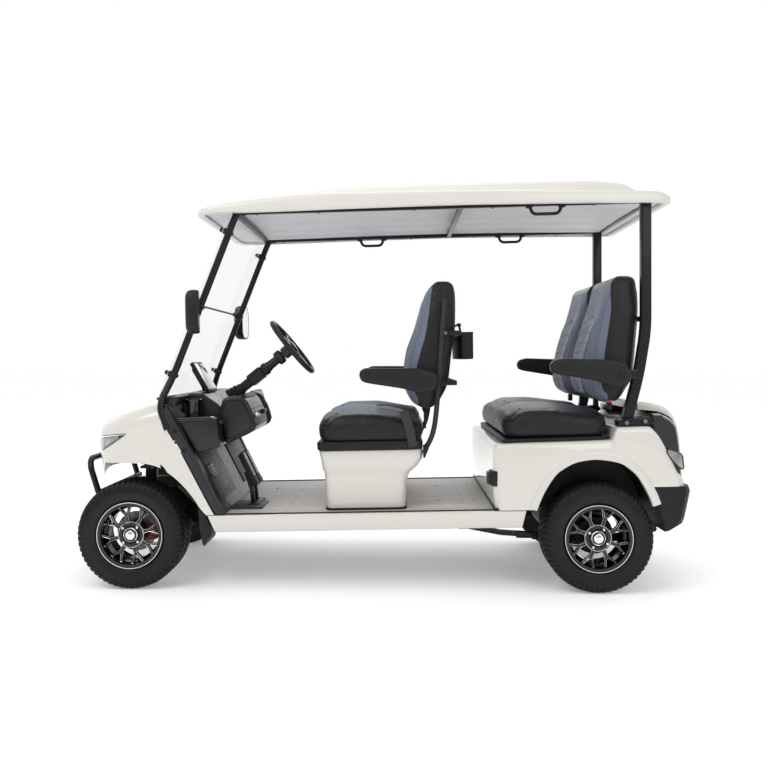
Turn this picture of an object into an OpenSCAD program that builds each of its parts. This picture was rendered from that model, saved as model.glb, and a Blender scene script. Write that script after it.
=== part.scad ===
// Four-seat electric golf cart with a fixed roof, in millimetres.
// Origin: on the ground under the middle of the cart. Front is -Y, left side is +X, up is +Z.
// The body is drawn level and then leaned nose-down by body_lean. Wheels, axles and kingpins stay upright.

/* [Overall] */
// Distance between the front and rear axles
wheelbase = 2300; // [2250:10:2780]
// From the front axle to the front of the brush guard
front_overhang = 322; // [315:1:335]
// From the rear axle to the back of the rear bumper
rear_overhang = 450; // [445:1:460]
// Width over the body sides
body_width = 1200; // [1120:10:1440]
// Nose-down lean of the body, in degrees
body_lean = 1.3; // [0.8:0.1:1.8]
// Height of the floor top above the body datum
floor_top = 385; // [375:1:400]

/* [Wheels] */
// Outer diameter of the tyres
tyre_diameter = 536; // [500:2:560]
// Width of the tyre section
tyre_width = 205; // [180:1:215]
// Distance between the middles of the left and right tyres, taken from the body width
track_inset = 200; // [190:1:240]
// Diameter of the rim where the tyre bead sits
bead_diameter = 304.8; // [300:0.1:310]
// Number of forked spokes on each rim
spoke_count = 8; // [5:1:9]
// Diameter of the circle through the four lug holes
lug_circle = 101.6; // [98:0.1:112]

/* [Steering] */
// Kingpin distance inboard of the wheel middle
kingpin_inset = 115; // [110:1:120]
// Outer diameter of the steering wheel
steering_wheel_diameter = 350; // [320:5:380]
// Slope of the steering shaft above level, in degrees
column_angle = 38; // [34:1:42]
// Steering wheel middle, out from the centre line
driver_offset = 300; // [280:5:320]

/* [Roof] */
// Height of the lower edge of the roof skirt above the floor top
roof_rise = 1495; // [1450:5:1700]
// Wall thickness of the roof shell
roof_wall = 5; // [3:0.5:6]
// Diameter of the round windshield struts
strut_diameter = 35; // [30:1:38]
// Width of the square rear posts
post_size = 50; // [44:1:54]

/* [Body] */
// Wall thickness of the moulded body panels
panel_wall = 4; // [3:0.5:5]
// Thickness of the floor deck
floor_thickness = 24; // [18:1:28]
// Depth of the side sills
sill_depth = 82; // [70:1:90]
// Radius of the front wheel arches
arch_radius = 370; // [365:1:376]

/* [Seats] */
// Distance from the front axle back to the front edge of the front seat
seat_setback = 934; // [900:2:960]
// Half the width of the seat cushions
cushion_half = 520; // [480:5:520]
// Armrest width
armrest_width = 54; // [44:1:58]

/* [Output] */
// Sub-part to draw, or all of them

/* [Hidden] */
$fn = 64;
fit = 0.05;
hw = body_width / 2;
overall = front_overhang + wheelbase + rear_overhang;
wheel_r = tyre_diameter / 2;
front_y = -overall / 2 + front_overhang;
rear_y = overall / 2 - rear_overhang;
wheel_x = (body_width - track_inset) / 2;
kingpin_x = wheel_x - kingpin_inset;
function level(y, z) = [y * cos(body_lean) + z * sin(body_lean), z * cos(body_lean) - y * sin(body_lean)];
axle_f = level(front_y, wheel_r);
axle_r = level(rear_y, wheel_r);
seat_y = axle_f[0] + seat_setback;
strut_x = hw - 83;
post_x = hw - 100;
rail_x = hw - 100;
frame_x = 215;
rail_w = 50;
rail_h = 76;
roof_z = floor_top + roof_rise;
bore_r = 15 + fit;
spindle_r = 15;
bead_r = bead_diameter / 2;
flange_r = bead_r + 14.6;
tube_r = 13;
guard_r = 16;
arm_pin_r = 8;

// Points measured from an axle or from the front seat edge, and from the floor top
function place(P, y, z) = [for (p = P) [p[0] + y, p[1] + z]];
function front(P) = place(P, axle_f[0], floor_top);
function rear(P) = place(P, axle_r[0], floor_top);
function seat(P) = place(P, seat_y, floor_top);
function rooff(P) = place(P, axle_f[0], roof_z);
function roofr(P) = place(P, axle_r[0], roof_z);

// Outline helpers: inset moves every edge inward, band makes a strip of width w along a path
function unit(v) = v / norm(v);
function left(v) = [-v[1], v[0]];
function turned(P) = let (n = len(P)) sign([for (i = [0 : n - 1])
    P[i][0] * P[(i + 1) % n][1] - P[(i + 1) % n][0] * P[i][1]] * [for (i = [0 : n - 1]) 1]);
function inset(P, d) = let (n = len(P), s = turned(P)) [for (i = [0 : n - 1])
    let (m = left(unit(P[i] - P[(i + n - 1) % n])), k = left(unit(P[(i + 1) % n] - P[i])))
    P[i] + s * d * (m + k) / (1 + m * k)];
function shifted(P, i, w) = let (n = len(P),
    u = i > 0 ? unit(P[i] - P[i - 1]) : unit(P[1] - P[0]),
    v = i < n - 1 ? unit(P[i + 1] - P[i]) : u, m = left(u), k = left(v))
    P[i] + w * (m + k) / (1 + m * k);
function band(P, w) = concat([for (i = [0 : len(P) - 1]) shifted(P, i, w / 2)],
    [for (i = [len(P) - 1 : -1 : 0]) shifted(P, i, -w / 2)]);
function mirrored(P) = concat(P, [for (i = [len(P) - 1 : -1 : 0]) [-P[i][0], P[i][1]]]);

module lean() { rotate([body_lean, 0, 0]) children(); }
module both() { children(); mirror([1, 0, 0]) children(); }
module slab(P, x0, x1) { translate([x0, 0, 0]) rotate([90, 0, 90]) linear_extrude(x1 - x0) polygon(P); }
module wide(P, half) { slab(P, -half, half); }
module plan(P, z0, z1) { translate([0, 0, z0]) linear_extrude(z1 - z0) polygon(P); }
module across(P, y0, y1) { translate([0, y1, 0]) rotate([90, 0, 0]) linear_extrude(y1 - y0) polygon(P); }
module box(x0, x1, y0, y1, z0, z1) { translate([x0, y0, z0]) cube([x1 - x0, y1 - y0, z1 - z0]); }
module rod_x(x0, x1, y, z, r) { translate([x0, y, z]) rotate([0, 90, 0]) cylinder(r = r, h = x1 - x0); }

// Round bar along a flat path with rounded bends
module bent_rod(P, bend, r) {
    n = len(P);
    turn = [for (i = [0 : n - 1]) (i == 0 || i == n - 1) ? 0 :
        let (u = unit(P[i] - P[i - 1]), v = unit(P[i + 1] - P[i]))
        atan2(u[0] * v[1] - u[1] * v[0], u * v)];
    cut = [for (i = [0 : n - 1]) bend * tan(abs(turn[i]) / 2)];
    for (i = [0 : n - 2]) {
        u = unit(P[i + 1] - P[i]);
        a = P[i] + u * cut[i];
        translate([a[0], a[1], 0]) rotate([0, 90, atan2(u[1], u[0])])
            cylinder(r = r, h = norm(P[i + 1] - P[i]) - cut[i] - cut[i + 1]);
    }
    for (i = [1 : n - 2]) {
        s = sign(turn[i]);
        u = unit(P[i] - P[i - 1]);
        c = P[i] - u * cut[i] + s * bend * left(u);
        a = atan2(-s * left(u)[1], -s * left(u)[0]);
        translate([c[0], c[1], 0]) rotate([0, 0, s > 0 ? a : a + turn[i]])
            rotate_extrude(angle = abs(turn[i])) translate([bend, 0]) circle(r = r);
    }
}

// Round bar along a flat path, with a ball a little fatter than the bar at each turn
module knee_rod(P, r) {
    n = len(P);
    for (i = [0 : n - 2]) {
        u = unit(P[i + 1] - P[i]);
        translate([P[i][0], P[i][1], 0]) rotate([0, 90, atan2(u[1], u[0])]) cylinder(r = r,
            h = norm(P[i + 1] - P[i]));
    }
    for (i = [1 : n - 2]) translate([P[i][0], P[i][1], 0]) sphere(r = r * 1.03);
}
module rod_yz(P, r, x) { translate([x, 0, 0]) rotate([90, 0, 90]) knee_rod(P, r); }

// ---- Chassis ----
rail_path = concat(front([[-216, 55], [134, 55], [254, -62]]), rear([[-396, -62], [-256, 45], [354, 45]]));
rail_core = concat(front([[-226, 55], [134, 55], [254, -62]]), rear([[-396, -62], [-256, 45], [364, 45]]));
deck_front = front([[414, 0]])[0][0];
deck_rear = rear([[-492, 0]])[0][0];
deck_low = floor_top - floor_thickness;
spring_x = 305;

module cross_bar(y, z, size) {
    box(-frame_x + rail_w / 2, frame_x - rail_w / 2, y - size / 2, y + size / 2, z - size / 2,
        z + size / 2);
}

module spring_hanger(y, low, high) {
    box(frame_x + rail_w / 2, spring_x + 31, y - 20, y + 20, high - 25, high);
    box(spring_x - 31, spring_x - 25, y - 20, y + 20, low, high);
    box(spring_x + 25, spring_x + 31, y - 20, y + 20, low, high);
}

module chassis_rails() color("#2b2b2e") lean() both() difference() {
    slab(band(rail_path, rail_h), frame_x - rail_w / 2, frame_x + rail_w / 2);
    slab(band(rail_core, rail_h - 6), frame_x - rail_w / 2 + 3, frame_x + rail_w / 2 - 3);
}

module chassis_cross_members() color("#2b2b2e") lean() {
    for (p = concat(front([[-186, 55], [284, -62]]), rear([[-786, -62], [-446, -62], [-186, 55], [314,
        45]])))
        cross_bar(p[0], p[1], 50);
    cross_bar(seat_y + 40, floor_top - 62, 50);
}

module chassis_outriggers() color("#2b2b2e") lean() {
    both() for (y = [deck_front + 120, seat_y + 40, seat_y + 380, deck_rear - 60])
        box(frame_x + rail_w / 2, hw - 44, y - 20, y + 20, deck_low - 45, deck_low);
    both() spring_hanger(rear([[-641, 0]])[0][0], floor_top - 135, floor_top - 40);
    both() spring_hanger(rear([[334, 0]])[0][0], floor_top - 160, floor_top + 45);
}

module floor_deck() color("#8f8a86") lean()
    box(-hw + 42, hw - 42, deck_front, deck_rear, deck_low, floor_top);

module side_sills() color("#f1efe8") lean() both() intersection() {
    across([[hw - 40, floor_top + 2], [hw, floor_top + 2], [hw, floor_top + 2 - sill_depth],
        [hw - 40, floor_top + 2 - sill_depth], [hw - 40, floor_top + 2 - sill_depth + panel_wall],
        [hw - panel_wall, floor_top + 2 - sill_depth + panel_wall], [hw - panel_wall,
            floor_top + 2 - panel_wall],
        [hw - 40, floor_top + 2 - panel_wall]], deck_front - 40, deck_rear + 160);
    slab(concat(front([[428, -85], [390, 7]]), rear([[-347, 7], [-369, -85]])), hw - 45, hw + 5);
}

// ---- Front cowl ----
cowl_side = front([[-251, 200], [-148, 200], [-138, 266], [-96, 265], [1, 255], [214, 175],
    [362, 51], [385, 5], [426, 5], [372, 105], [263, 319], [185, 463], [164, 530], [154, 577],
    [74, 562], [-2, 541], [-105, 511], [-209, 475], [-282, 418], [-278, 305]]);
cowl_plan = mirrored([for (p = concat(
    [for (q = [[120, -1490], [250, -1466], [350, -1437], [440, -1402], [515, -1358], [562, -1290],
        [590, -1200], [600, -1050], [600, -700]])
        [q[0] + hw - 600, q[1] + 1214 + axle_f[0]]])) p]);
lamp_side = front([[-306, 318], [-157, 318], [-97, 345], [-36, 411], [-147, 404], [-306, 395]]);
strut_path = front([[199, 430], [161, 559], [546, 1499]]);
strut_top = [axle_f[0] + 546, roof_z + 4];
strut_line = [strut_path[0], strut_path[1], strut_top];

module cowl_shape(d) intersection() {
    wide(inset(cowl_side, d), hw - d);
    plan(inset(cowl_plan, d), floor_top - 10, floor_top + 620);
}

module lamp_block(grow) both() slab(inset(lamp_side, -grow), 330 + hw - 600 - grow, hw + 10);

module front_cowl() color("#f1efe8") lean() difference() {
    cowl_shape(0);
    cowl_shape(panel_wall);
    wide(front([[148, 570], [184, 570], [454, 9], [392, 9], [344, 105], [214, 315]]), hw - panel_wall);
    rod_x(-hw - 5, hw + 5, axle_f[0], axle_f[1], arch_radius);
    both() box(400, hw + 5, axle_f[0] - 320, axle_f[0] - 107, floor_top + 150, floor_top + 270);
    both() slab(band(strut_line, strut_diameter + 6), strut_x - strut_diameter / 2 - 3,
        strut_x + strut_diameter / 2 + 3);
    lamp_block(1);
}

module headlights() color("#dfe6ea") lean() difference() {
    intersection() { cowl_shape(0); lamp_block(0); }
    cowl_shape(24);
}

trim_plate = front([[169, 523], [188, 463], [266, 319], [375, 105], [429, 5], [478, 5], [420, 105],
    [336, 291], [239, 465], [198, 540]]);

module body_trim() color("#3a3c40") lean() {
    both() difference() {
        slab(trim_plate, hw - 44, hw - 2);
        slab(inset(trim_plate, 5), hw - 50, hw - 8);
    }
    // moulded flap behind each front wheel
    both() slab(front([[344, 48], [362, 42], [383, -1], [419, -81], [367, -144], [353, -114]]),
        hw - 190, hw - 2);
    // front arch liner
    both() intersection() {
        difference() {
            rod_x(hw - 270, hw - panel_wall - 2, axle_f[0], axle_f[1], arch_radius - 1);
            rod_x(hw - 275, hw, axle_f[0], axle_f[1], arch_radius - 5);
        }
        slab(front([[-112, 215], [-112, 305], [384, 305], [384, 61], [234, 61]]), hw - 280, hw);
    }
    // charge socket on the front of the rear body
    slab(rear([[-511, 121], [-484, 121], [-479, 194], [-511, 194]]), hw - 100, hw - 20);
}

// ---- Front guard ----
guard_top = [-overall / 2 + guard_r + 14.6, floor_top + 261];
guard_low = guard_top + [58, -199];

module front_bumper() color("#1c1c1e") lean() {
    d = guard_top - guard_low;
    translate([0, guard_low[0], guard_low[1]]) rotate([atan2(d[1], d[0]), 0, 0])
        bent_rod([[-330, 0], [-330, norm(d)], [330, norm(d)], [330, 0]], 70, guard_r);
    translate([0, guard_low[0], guard_low[1]]) rod_x(-330, 330, 8, 30, 13);
    both() box(frame_x - 18, frame_x + 18, guard_low[0] + 14, axle_f[0] - 222, floor_top + 82,
        floor_top + 106);
}

// ---- Dash, toe board and controls ----
dash_half = hw - 46;
dash_side = front([[206, 505], [259, 465], [334, 305], [457, 335], [429, 509], [364, 570], [329, 599],
    [259, 599], [229, 565]]);
dash_mid = hw - 228;
dash_end = front([[211, 501], [259, 465], [334, 305], [451, 335], [424, 499], [411, 520], [229, 515]]);
pod_side = front([[424, 495], [457, 337], [574, 387], [616, 410], [594, 509], [550, 581], [454, 575]]);
toe_side = front([[248, 460], [452, 39], [470, 2], [444, 2], [426, 35], [229, 437]]);
cup_y = front([[290, 0]])[0][0];
wheel_mid = seat([[-142, 828]])[0];

module at_column() translate([driver_offset, wheel_mid[0], wheel_mid[1]]) rotate([column_angle - 90,
    0, 0]) children();

module column_hole() at_column() translate([0, 0, -520]) cylinder(r = 32, h = 400);

module dashboard() color("#26262a") lean() difference() {
    union() {
        difference() {
            union() {
                wide(dash_side, dash_mid);
                both() slab(dash_end, dash_mid - 1, dash_half);
            }
            wide(inset(dash_side, panel_wall), dash_mid - panel_wall);
            both() slab(inset(dash_end, panel_wall), dash_mid, dash_half - panel_wall);
            wide(front([[194, 495], [254, 455], [264, 477], [229, 503]]), dash_half - 40);
        }
        both() translate([hw - 170, cup_y, floor_top + 507]) cylinder(r = 39, h = 63);
    }
    both() translate([hw - 170, cup_y, floor_top + 511]) cylinder(r = 35, h = 70);
    column_hole();
}

module dash_pods() color("#26262a") lean() difference() {
    both() slab(pod_side, 60, driver_offset + 145);
    both() slab(inset(pod_side, panel_wall), 60 + panel_wall, driver_offset + 145 - panel_wall);
    wide(dash_side, dash_half);
    column_hole();
}

module toe_board() color("#26262a") lean() difference() {
    wide(toe_side, dash_half);
    wide(dash_side, dash_half);
    column_hole();
}

module dash_screen() color("#17181a") lean() {
    slab(front([[234, 752], [252, 759], [338, 609], [320, 601]]), 60, 260);
    slab(front([[289, 601], [274, 660], [288, 667], [309, 601]]), 140, 180);
}

module pedals() color("#6d6f72") lean() {
    for (x = [driver_offset - 30, driver_offset - 130]) {
        slab(front([[500, 263], [520, 279], [594, 115], [574, 105]]), x, x + 70);
        slab(front([[538, 163], [550, 167], [580, 1], [560, 1]]), x + 25, x + 45);
    }
    box(driver_offset - 150, driver_offset + 60, axle_f[0] + 545, axle_f[0] + 600, floor_top,
        floor_top + 14);
}

module steering_column() color("#1f2022") lean() at_column() difference() {
    union() {
        translate([0, 0, -415]) cylinder(r = 27, h = 330);
        translate([-38, -30, -280]) cube([76, 60, 75]);
        translate([0, 0, -100]) cylinder(r = 36, h = 32);
    }
    translate([0, 0, -220]) cylinder(r = 10, h = 160);
}

module steering_wheel() color("#18181a") lean() at_column() {
    rim_r = 13;
    mid = steering_wheel_diameter / 2 - rim_r;
    rotate_extrude() translate([mid, 0]) circle(r = rim_r);
    translate([0, 0, -60]) cylinder(r = 32, h = 66);
    translate([0, 0, -180]) cylinder(r = 10 - fit, h = 125);
    for (a = [90, 210, 330]) rotate([0, 0, a]) translate([20, -14, -9]) cube([mid - 22, 28, 12]);
}

// ---- Windshield and mirrors ----
strut_dir = unit(strut_top - strut_path[1]);
strut_out = left(strut_dir);
function along(t, off) = strut_path[1] + t * strut_dir + off * strut_out;
strut_len = norm(strut_top - strut_path[1]);
pane_off = strut_diameter / 2 + 11;

module windshield_struts() color("#1c1c1e") lean() both() {
    difference() {
        rod_yz([strut_path[0], strut_path[1], strut_top + 20 * strut_dir], strut_diameter / 2, strut_x);
        box(strut_x - 40, strut_x + 40, strut_top[0] - 120, strut_top[0] + 120, roof_z, roof_z + 100);
    }
    for (t = [45, strut_len * 0.51, strut_len * 0.9])
        slab([along(t - 14, strut_diameter / 2 - 4), along(t + 14, strut_diameter / 2 - 4),
            along(t + 14, pane_off - 2.6), along(t - 14, pane_off - 2.6)], strut_x - 13, strut_x + 13);
    rod_x(strut_x, hw - 35, along(strut_len * 0.475, 0)[0], along(strut_len * 0.475, 0)[1], 9);
}

module windshield_panes() color("#c9d6da", 0.3) lean() {
    wide(band([along(16, pane_off), along(strut_len * 0.505, pane_off)], 5), hw - 65);
    wide(band([along(strut_len * 0.515, pane_off), along(strut_len - 32, pane_off)], 5), hw - 65);
}

module mirrors() color("#1c1c1e") lean() {
    m = along(strut_len * 0.475, 0);
    both() slab(place([[-34, -80], [-20, -104], [22, -110], [34, -95], [34, 95], [22, 110], [-20,
        104], [-34, 80]],
        m[0], m[1]), hw - 35, hw + 90);
}

// ---- Roof ----
roof_side = concat(rooff([[360, -4], [730, 0]]), roofr([[-310, 3], [394, -13], [384, 13], [334, 55]]),
    rooff([[909, 93], [730, 78], [537, 58], [414, 39], [368, 22]]));
crown_side = concat(rooff([[814, 65]]), roofr([[309, 45], [199, 130], [15, 150]]), rooff([[1159, 150]]));
roof_plan = mirrored(concat([for (q = [[390, -854], [500, -846], [565, -822], [592,
    -750]]) [q[0] + hw - 600, q[1] + 1214 + axle_f[0]]],
    [for (q = [[592, 1418], [575, 1458], [520, 1480]]) [q[0] + hw - 600, q[1] - 1086 + axle_r[0]]]));
crown_cross = [[-450 - hw + 600, roof_z + 60], [450 + hw - 600, roof_z + 60], [390 + hw - 600,
    roof_z + 155], [-390 - hw + 600, roof_z + 155]];
rail_front = axle_f[0] + 524;
rail_rear = axle_r[0] + 313;
rail_z = roof_z;

module roof_shape(d) {
    intersection() {
        wide(inset(roof_side, d), hw);
        plan(inset(roof_plan, d), roof_z - 40, roof_z + 200);
    }
    intersection() {
        wide(inset(crown_side, d), hw);
        across(inset(crown_cross, d), axle_f[0], axle_r[0] + 500);
    }
}

module roof_panel() color("#f1efe8") lean() {
    difference() {
        roof_shape(0);
        roof_shape(roof_wall);
        intersection() {
            box(-hw, hw, axle_f[0] + 397, axle_r[0] + 366, roof_z - 60, roof_z + 12);
            plan(inset(roof_plan, roof_wall), roof_z - 60, roof_z + 200);
        }
    }
    // bosses that stand on the roof rails
    intersection() {
        roof_shape(0);
        both() for (y = [rail_front + 30, (rail_front + rail_rear) / 2, rail_rear - 60])
            box(rail_x - 13, rail_x + 13, y, y + 40, rail_z + 26, rail_z + 200);
    }
}

module grab_handle(y0, y1) difference() {
    $fn = 32;
    rod_yz([[y0 - 4, rail_z + 12], [y0 + 24, rail_z - 36], [y1 - 24, rail_z - 36], [y1 + 4,
        rail_z + 12]], 7, 0);
    box(-20, 20, y0 - 40, y1 + 40, rail_z - fit, rail_z + 60);
}

module roof_frame() color("#1c1c1e") lean() {
    both() box(rail_x - 13, rail_x + 13, rail_front, rail_rear, rail_z, rail_z + 26);
    for (y = [rail_front, (rail_front + rail_rear) / 2 + 90, rail_rear - 26])
        box(-rail_x + 11, rail_x - 11, y, y + 26, rail_z, rail_z + 26);
}

module grab_handles() color("#1c1c1e") lean() {
    translate([-rail_x, 0, 0]) grab_handle(seat([[193, 0]])[0][0], seat([[341, 0]])[0][0]);
    translate([-rail_x, 0, 0]) grab_handle(rear([[-320, 0]])[0][0], rear([[-173, 0]])[0][0]);
    translate([rail_x, 0, 0]) grab_handle(rear([[-286, 0]])[0][0], rear([[-124, 0]])[0][0]);
}

post_path = concat([[axle_r[0] + 286, roof_z]], rear([[272, 869], [231, 647], [166, 435]]));
post_core = concat([[axle_r[0] + 286, roof_z + 10]], rear([[272, 869], [231, 647], [170, 450]]));

module rear_posts() color("#1c1c1e") lean() {
    both() {
        difference() {
            slab(band(post_path, post_size), post_x - post_size * 0.44, post_x + post_size * 0.44);
            slab(band(post_core, post_size - 6), post_x - post_size * 0.44 + 3,
                post_x + post_size * 0.44 - 3);
            wide(rear([[94, 315], [314, 315], [314, 407], [94, 407]]), hw);
            box(-hw, hw, axle_r[0] + 200, axle_r[0] + 400, roof_z, roof_z + 40);
        }
        slab(rear([[114, 399], [259, 399], [280, 415], [266, 443], [114, 427]]), post_x - 26, post_x + 60);
        // armrest bracket and pivot pin
        slab(rear([[111, 625], [111, 665], [230, 675], [230, 630]]), post_x + post_size * 0.44 - 2,
            post_x + 30);
        rod_x(post_x + 28, post_x + 76, rear([[129, 0]])[0][0], floor_top + 645, arm_pin_r);
    }
    box(-post_x + 20, post_x - 20, rear([[259, 0]])[0][0], rear([[284, 0]])[0][0], floor_top + 915,
        floor_top + 940);
    box(-post_x + 20, post_x - 20, rear([[232, 0]])[0][0], rear([[254, 0]])[0][0], floor_top + 640,
        floor_top + 665);
}

// ---- Seats ----
base_side = seat([[32, 0], [435, 0], [442, 145], [464, 186], [526, 252], [528, 298], [0, 298], [15,
    202], [26, 160]]);

module front_seat_base() color("#f1efe8") lean() difference() {
    wide(base_side, hw - 100);
    wide(inset(base_side, panel_wall), hw - 100 - panel_wall);
    wide(seat([[18, 275], [515, 275], [515, 315], [18, 315]]), hw - 120);
    wide(seat([[45, -5], [420, -5], [420, 15], [45, 15]]), hw - 120);
}

module seat_trays() color("#232326") lean() {
    difference() {
        wide(seat([[-6, 298], [526, 298], [526, 346], [-6, 346]]), hw - 88);
        wide(seat([[0, 295], [520, 295], [520, 339], [0, 339]]), hw - 94);
    }
    wide(rear([[-454, 327], [72, 340.5], [72, 352.5], [-446, 348.5]]), hw - 35);
}

module seat_cushions() color("#26262b") lean() {
    intersection() {
        wide(seat([[-1, 346], [526, 346], [540, 401], [528, 451], [460, 493], [340, 515], [200, 520],
            [100, 499], [30, 465], [-3, 415]]), hw - 80);
        across([[-hw + 80, floor_top + 340], [hw - 80, floor_top + 340], [hw - 80, floor_top + 462],
            [hw - 130, floor_top + 494],
            [hw - 260, floor_top + 520], [-hw + 260, floor_top + 520], [-hw + 130, floor_top + 494],
                [-hw + 80, floor_top + 462]],
            seat_y - 20, seat_y + 560);
    }
    intersection() {
        wide(rear([[-441, 349.5], [74, 353.5], [84, 415], [78, 457], [14, 481], [-186, 489], [-346,
            481], [-422, 460], [-446, 405]]), hw - 34);
        across([[-hw + 34, floor_top + 340], [hw - 34, floor_top + 340], [hw - 34, floor_top + 452],
            [hw - 90, floor_top + 478],
            [hw - 220, floor_top + 490], [-hw + 220, floor_top + 490], [-hw + 90, floor_top + 478],
                [-hw + 34, floor_top + 452]],
            axle_r[0] - 460, axle_r[0] + 110);
    }
}

back_side = seat([[511, 501], [594, 499], [635, 556], [662, 614], [686, 777], [705, 901], [708, 1081],
    [700, 1127],
    [660, 1145], [625, 1144], [592, 1125], [564, 1085], [540, 1015], [504, 905], [461, 799], [443,
        701], [438, 615],
    [456, 565], [480, 523]]);
rear_back_side = rear([[64, 519], [153, 517], [214, 623], [236, 815], [246, 1015], [226, 1142], [176, 1146],
    [140, 1127], [114, 1085], [77, 986], [30, 874], [-12, 750], [-24, 695], [-30, 625], [-22, 577],
    [0, 541]]);

function back_cross(x0, x1, low, high) = [[x0 + 40, low], [x1 - 40, low], [x1, low + 60], [x1, high - 220],
    [x1 - 10, high - 90], [x1 - 32, high - 22], [x1 - 60, high], [x0 + 60, high], [x0 + 32, high - 22],
    [x0 + 10, high - 90], [x0, high - 220], [x0, low + 60]];

module seat_backs() color("#26262b") lean() both() {
    intersection() {
        slab(back_side, 12, hw - 138);
        across(back_cross(12, hw - 138, floor_top + 498, floor_top + 1139), seat_y + 400, seat_y + 740);
    }
    intersection() {
        slab(rear_back_side, 12, hw - 95);
        difference() {
            across(back_cross(12, hw - 95, floor_top + 516, floor_top + 1146), axle_r[0] - 160,
                axle_r[0] + 260);
            slab(band(post_path, post_size + 10), post_x - post_size * 0.44 - 5, hw);
        }
    }
}

frame_tube = seat([[652, 1047], [602, 520], [588, 415], [570, 353], [544, 309]]);

module seat_frames() color("#3b3c40") lean() {
    x = hw - 118;
    both() {
        rod_yz(frame_tube, tube_r, x);
        slab(seat([[528, 255], [534, 255], [557, 305], [552, 327], [528, 315]]), x - 20, x + 20);
        slab(seat([[618, 865], [618, 889], [732, 889], [732, 865]]), x - 8, x + 8);
        slab(seat([[602, 615], [602, 639], [704, 639], [704, 615]]), x - 8, x + 8);
        // armrest bracket and pivot pin
        slab(seat([[533, 627], [533, 663], [618, 670], [618, 620]]), x + 2, x + 17);
        rod_x(x + 15, x + 66, seat([[545, 0]])[0][0], floor_top + 645, arm_pin_r);
    }
    box(-x, x, seat([[714, 0]])[0][0], seat([[732, 0]])[0][0], floor_top + 865, floor_top + 889);
    box(-x, x, seat([[686, 0]])[0][0], seat([[704, 0]])[0][0], floor_top + 615, floor_top + 639);
}

module storage_tray() color("#232326") lean() difference() {
    wide(seat([[733, 745], [804, 741], [810, 879], [733, 881]]), 330);
    wide(seat([[739, 751], [798, 747], [804, 905], [739, 905]]), 324);
}

module armrest(P, x0, x1, pivot) color("#202024") lean() difference() {
    slab(P, x0, x1);
    rod_x(x0 - 5, x1 - 10, pivot[0], pivot[1], arm_pin_r + fit);
}

arm_front = seat([[216, 675], [228, 645], [260, 635], [432, 605], [511, 583], [570, 585], [598, 600],
    [606, 645], [596, 681], [507, 705], [246, 711], [222, 697]]);
arm_rear = rear([[-215, 705], [-210, 675], [-186, 662], [0, 627], [94, 593], [139, 589], [172, 615],
    [179, 656],
    [152, 707], [94, 725], [-160, 739], [-202, 727]]);
arm_front_x = hw - 118 + 22;
arm_rear_x = post_x + 36;

module armrest_front_left() armrest(arm_front, arm_front_x, arm_front_x + armrest_width, seat([[545,
    645]])[0]);
module armrest_front_right() mirror([1, 0, 0]) armrest_front_left();
module armrest_rear_left() armrest(arm_rear, arm_rear_x, arm_rear_x + armrest_width, rear([[129, 645]])[0]);
module armrest_rear_right() mirror([1, 0, 0]) armrest_rear_left();

module seat_belts() color("#141416") lean() both() {
    slab(seat([[430, 305], [480, 305], [470, 465], [420, 465]]), hw - 79, hw - 76);
    box(60, 95, seat([[548, 0]])[0][0], seat([[568, 0]])[0][0], floor_top + 380, floor_top + 480);
    box(150, 190, rear([[94, 0]])[0][0], rear([[144, 0]])[0][0], floor_top + 470, floor_top + 500);
}

// ---- Rear body ----
tub_side = rear([[-491, 3], [239, 3], [239, 111], [403, 111], [375, 199], [339, 279], [290, 365],
    [253, 399],
    [100, 399], [78, 339], [-469, 326]]);
arch = rear([[-302, -25], [272, -25], [268, -3], [246, 70], [201, 153], [159, 197], [106, 230], [11, 248],
    [-51, 246], [-110, 234], [-161, 209], [-207, 174], [-257, 102], [-302, -4]]);

module rear_body() color("#f1efe8") lean() difference() {
    wide(tub_side, hw);
    wide(inset(tub_side, panel_wall), hw - panel_wall);
    wide(arch, hw + 5);
    both() box(frame_x - 31, frame_x + 31, rear([[-396, 0]])[0][0], rear([[-286, 0]])[0][0],
        floor_top - 5, floor_top + 20);
    box(-hw + 80, hw - 80, rear([[-416, 0]])[0][0], rear([[34, 0]])[0][0], floor_top + 200,
        floor_top + 380);
}

module arch_liners() color("#2a2b2e") lean() both() {
    difference() {
        slab(arch, hw - 255, hw - panel_wall - 2);
        slab(inset(arch, 4), hw - 250, hw);
        slab(rear([[-386, -35], [314, -35], [314, -13], [-386, -13]]), hw - 260, hw);
    }
}

fascia_side = rear([[290, 375], [290, 461], [330, 458], [388, 429], [417, 393], [430, 290], [438,
    120], [411, 115],
    [381, 200], [345, 281], [297, 368]]);
cap_side = rear([[240, 471], [333, 463], [393, 434], [422, 396], [436, 290], [444, 120], [452, 120],
    [451, 156],
    [448, 290], [440, 397], [426, 433], [392, 477], [330, 499], [240, 511]]);

module rear_fascia() color("#222326") lean() difference() {
    wide(fascia_side, hw - 60);
    wide(inset(fascia_side, panel_wall), hw - 60 - panel_wall);
    wide(rear([[284, 380], [284, 453], [314, 453], [314, 380]]), hw - 80);
}

module rear_cap() color("#f1efe8") lean() wide(cap_side, hw - 150);

module tail_lights() color("#b3161b") lean() both()
    slab(rear([[348, 283], [402, 307], [408, 243], [412, 187], [384, 199]]), hw - 57, hw - 4);

bumper_side = rear([[256, 101], [283, 26], [301, -39], [322, -120], [412, -76], [423, -51], [449, 58],
    [454, 85], [447, 107]]);

module rear_bumper() color("#2c2d30") lean() difference() {
    wide(bumper_side, hw);
    wide(inset(bumper_side, 6), hw - 6);
    wide(rear([[244, 95], [414, 95], [404, -65], [294, -125], [254, -5]]), hw - 60);
    both() box(spring_x - 37, spring_x + 37, rear([[304, 0]])[0][0], rear([[364, 0]])[0][0],
        floor_top - 150, floor_top + 90);
}

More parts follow.
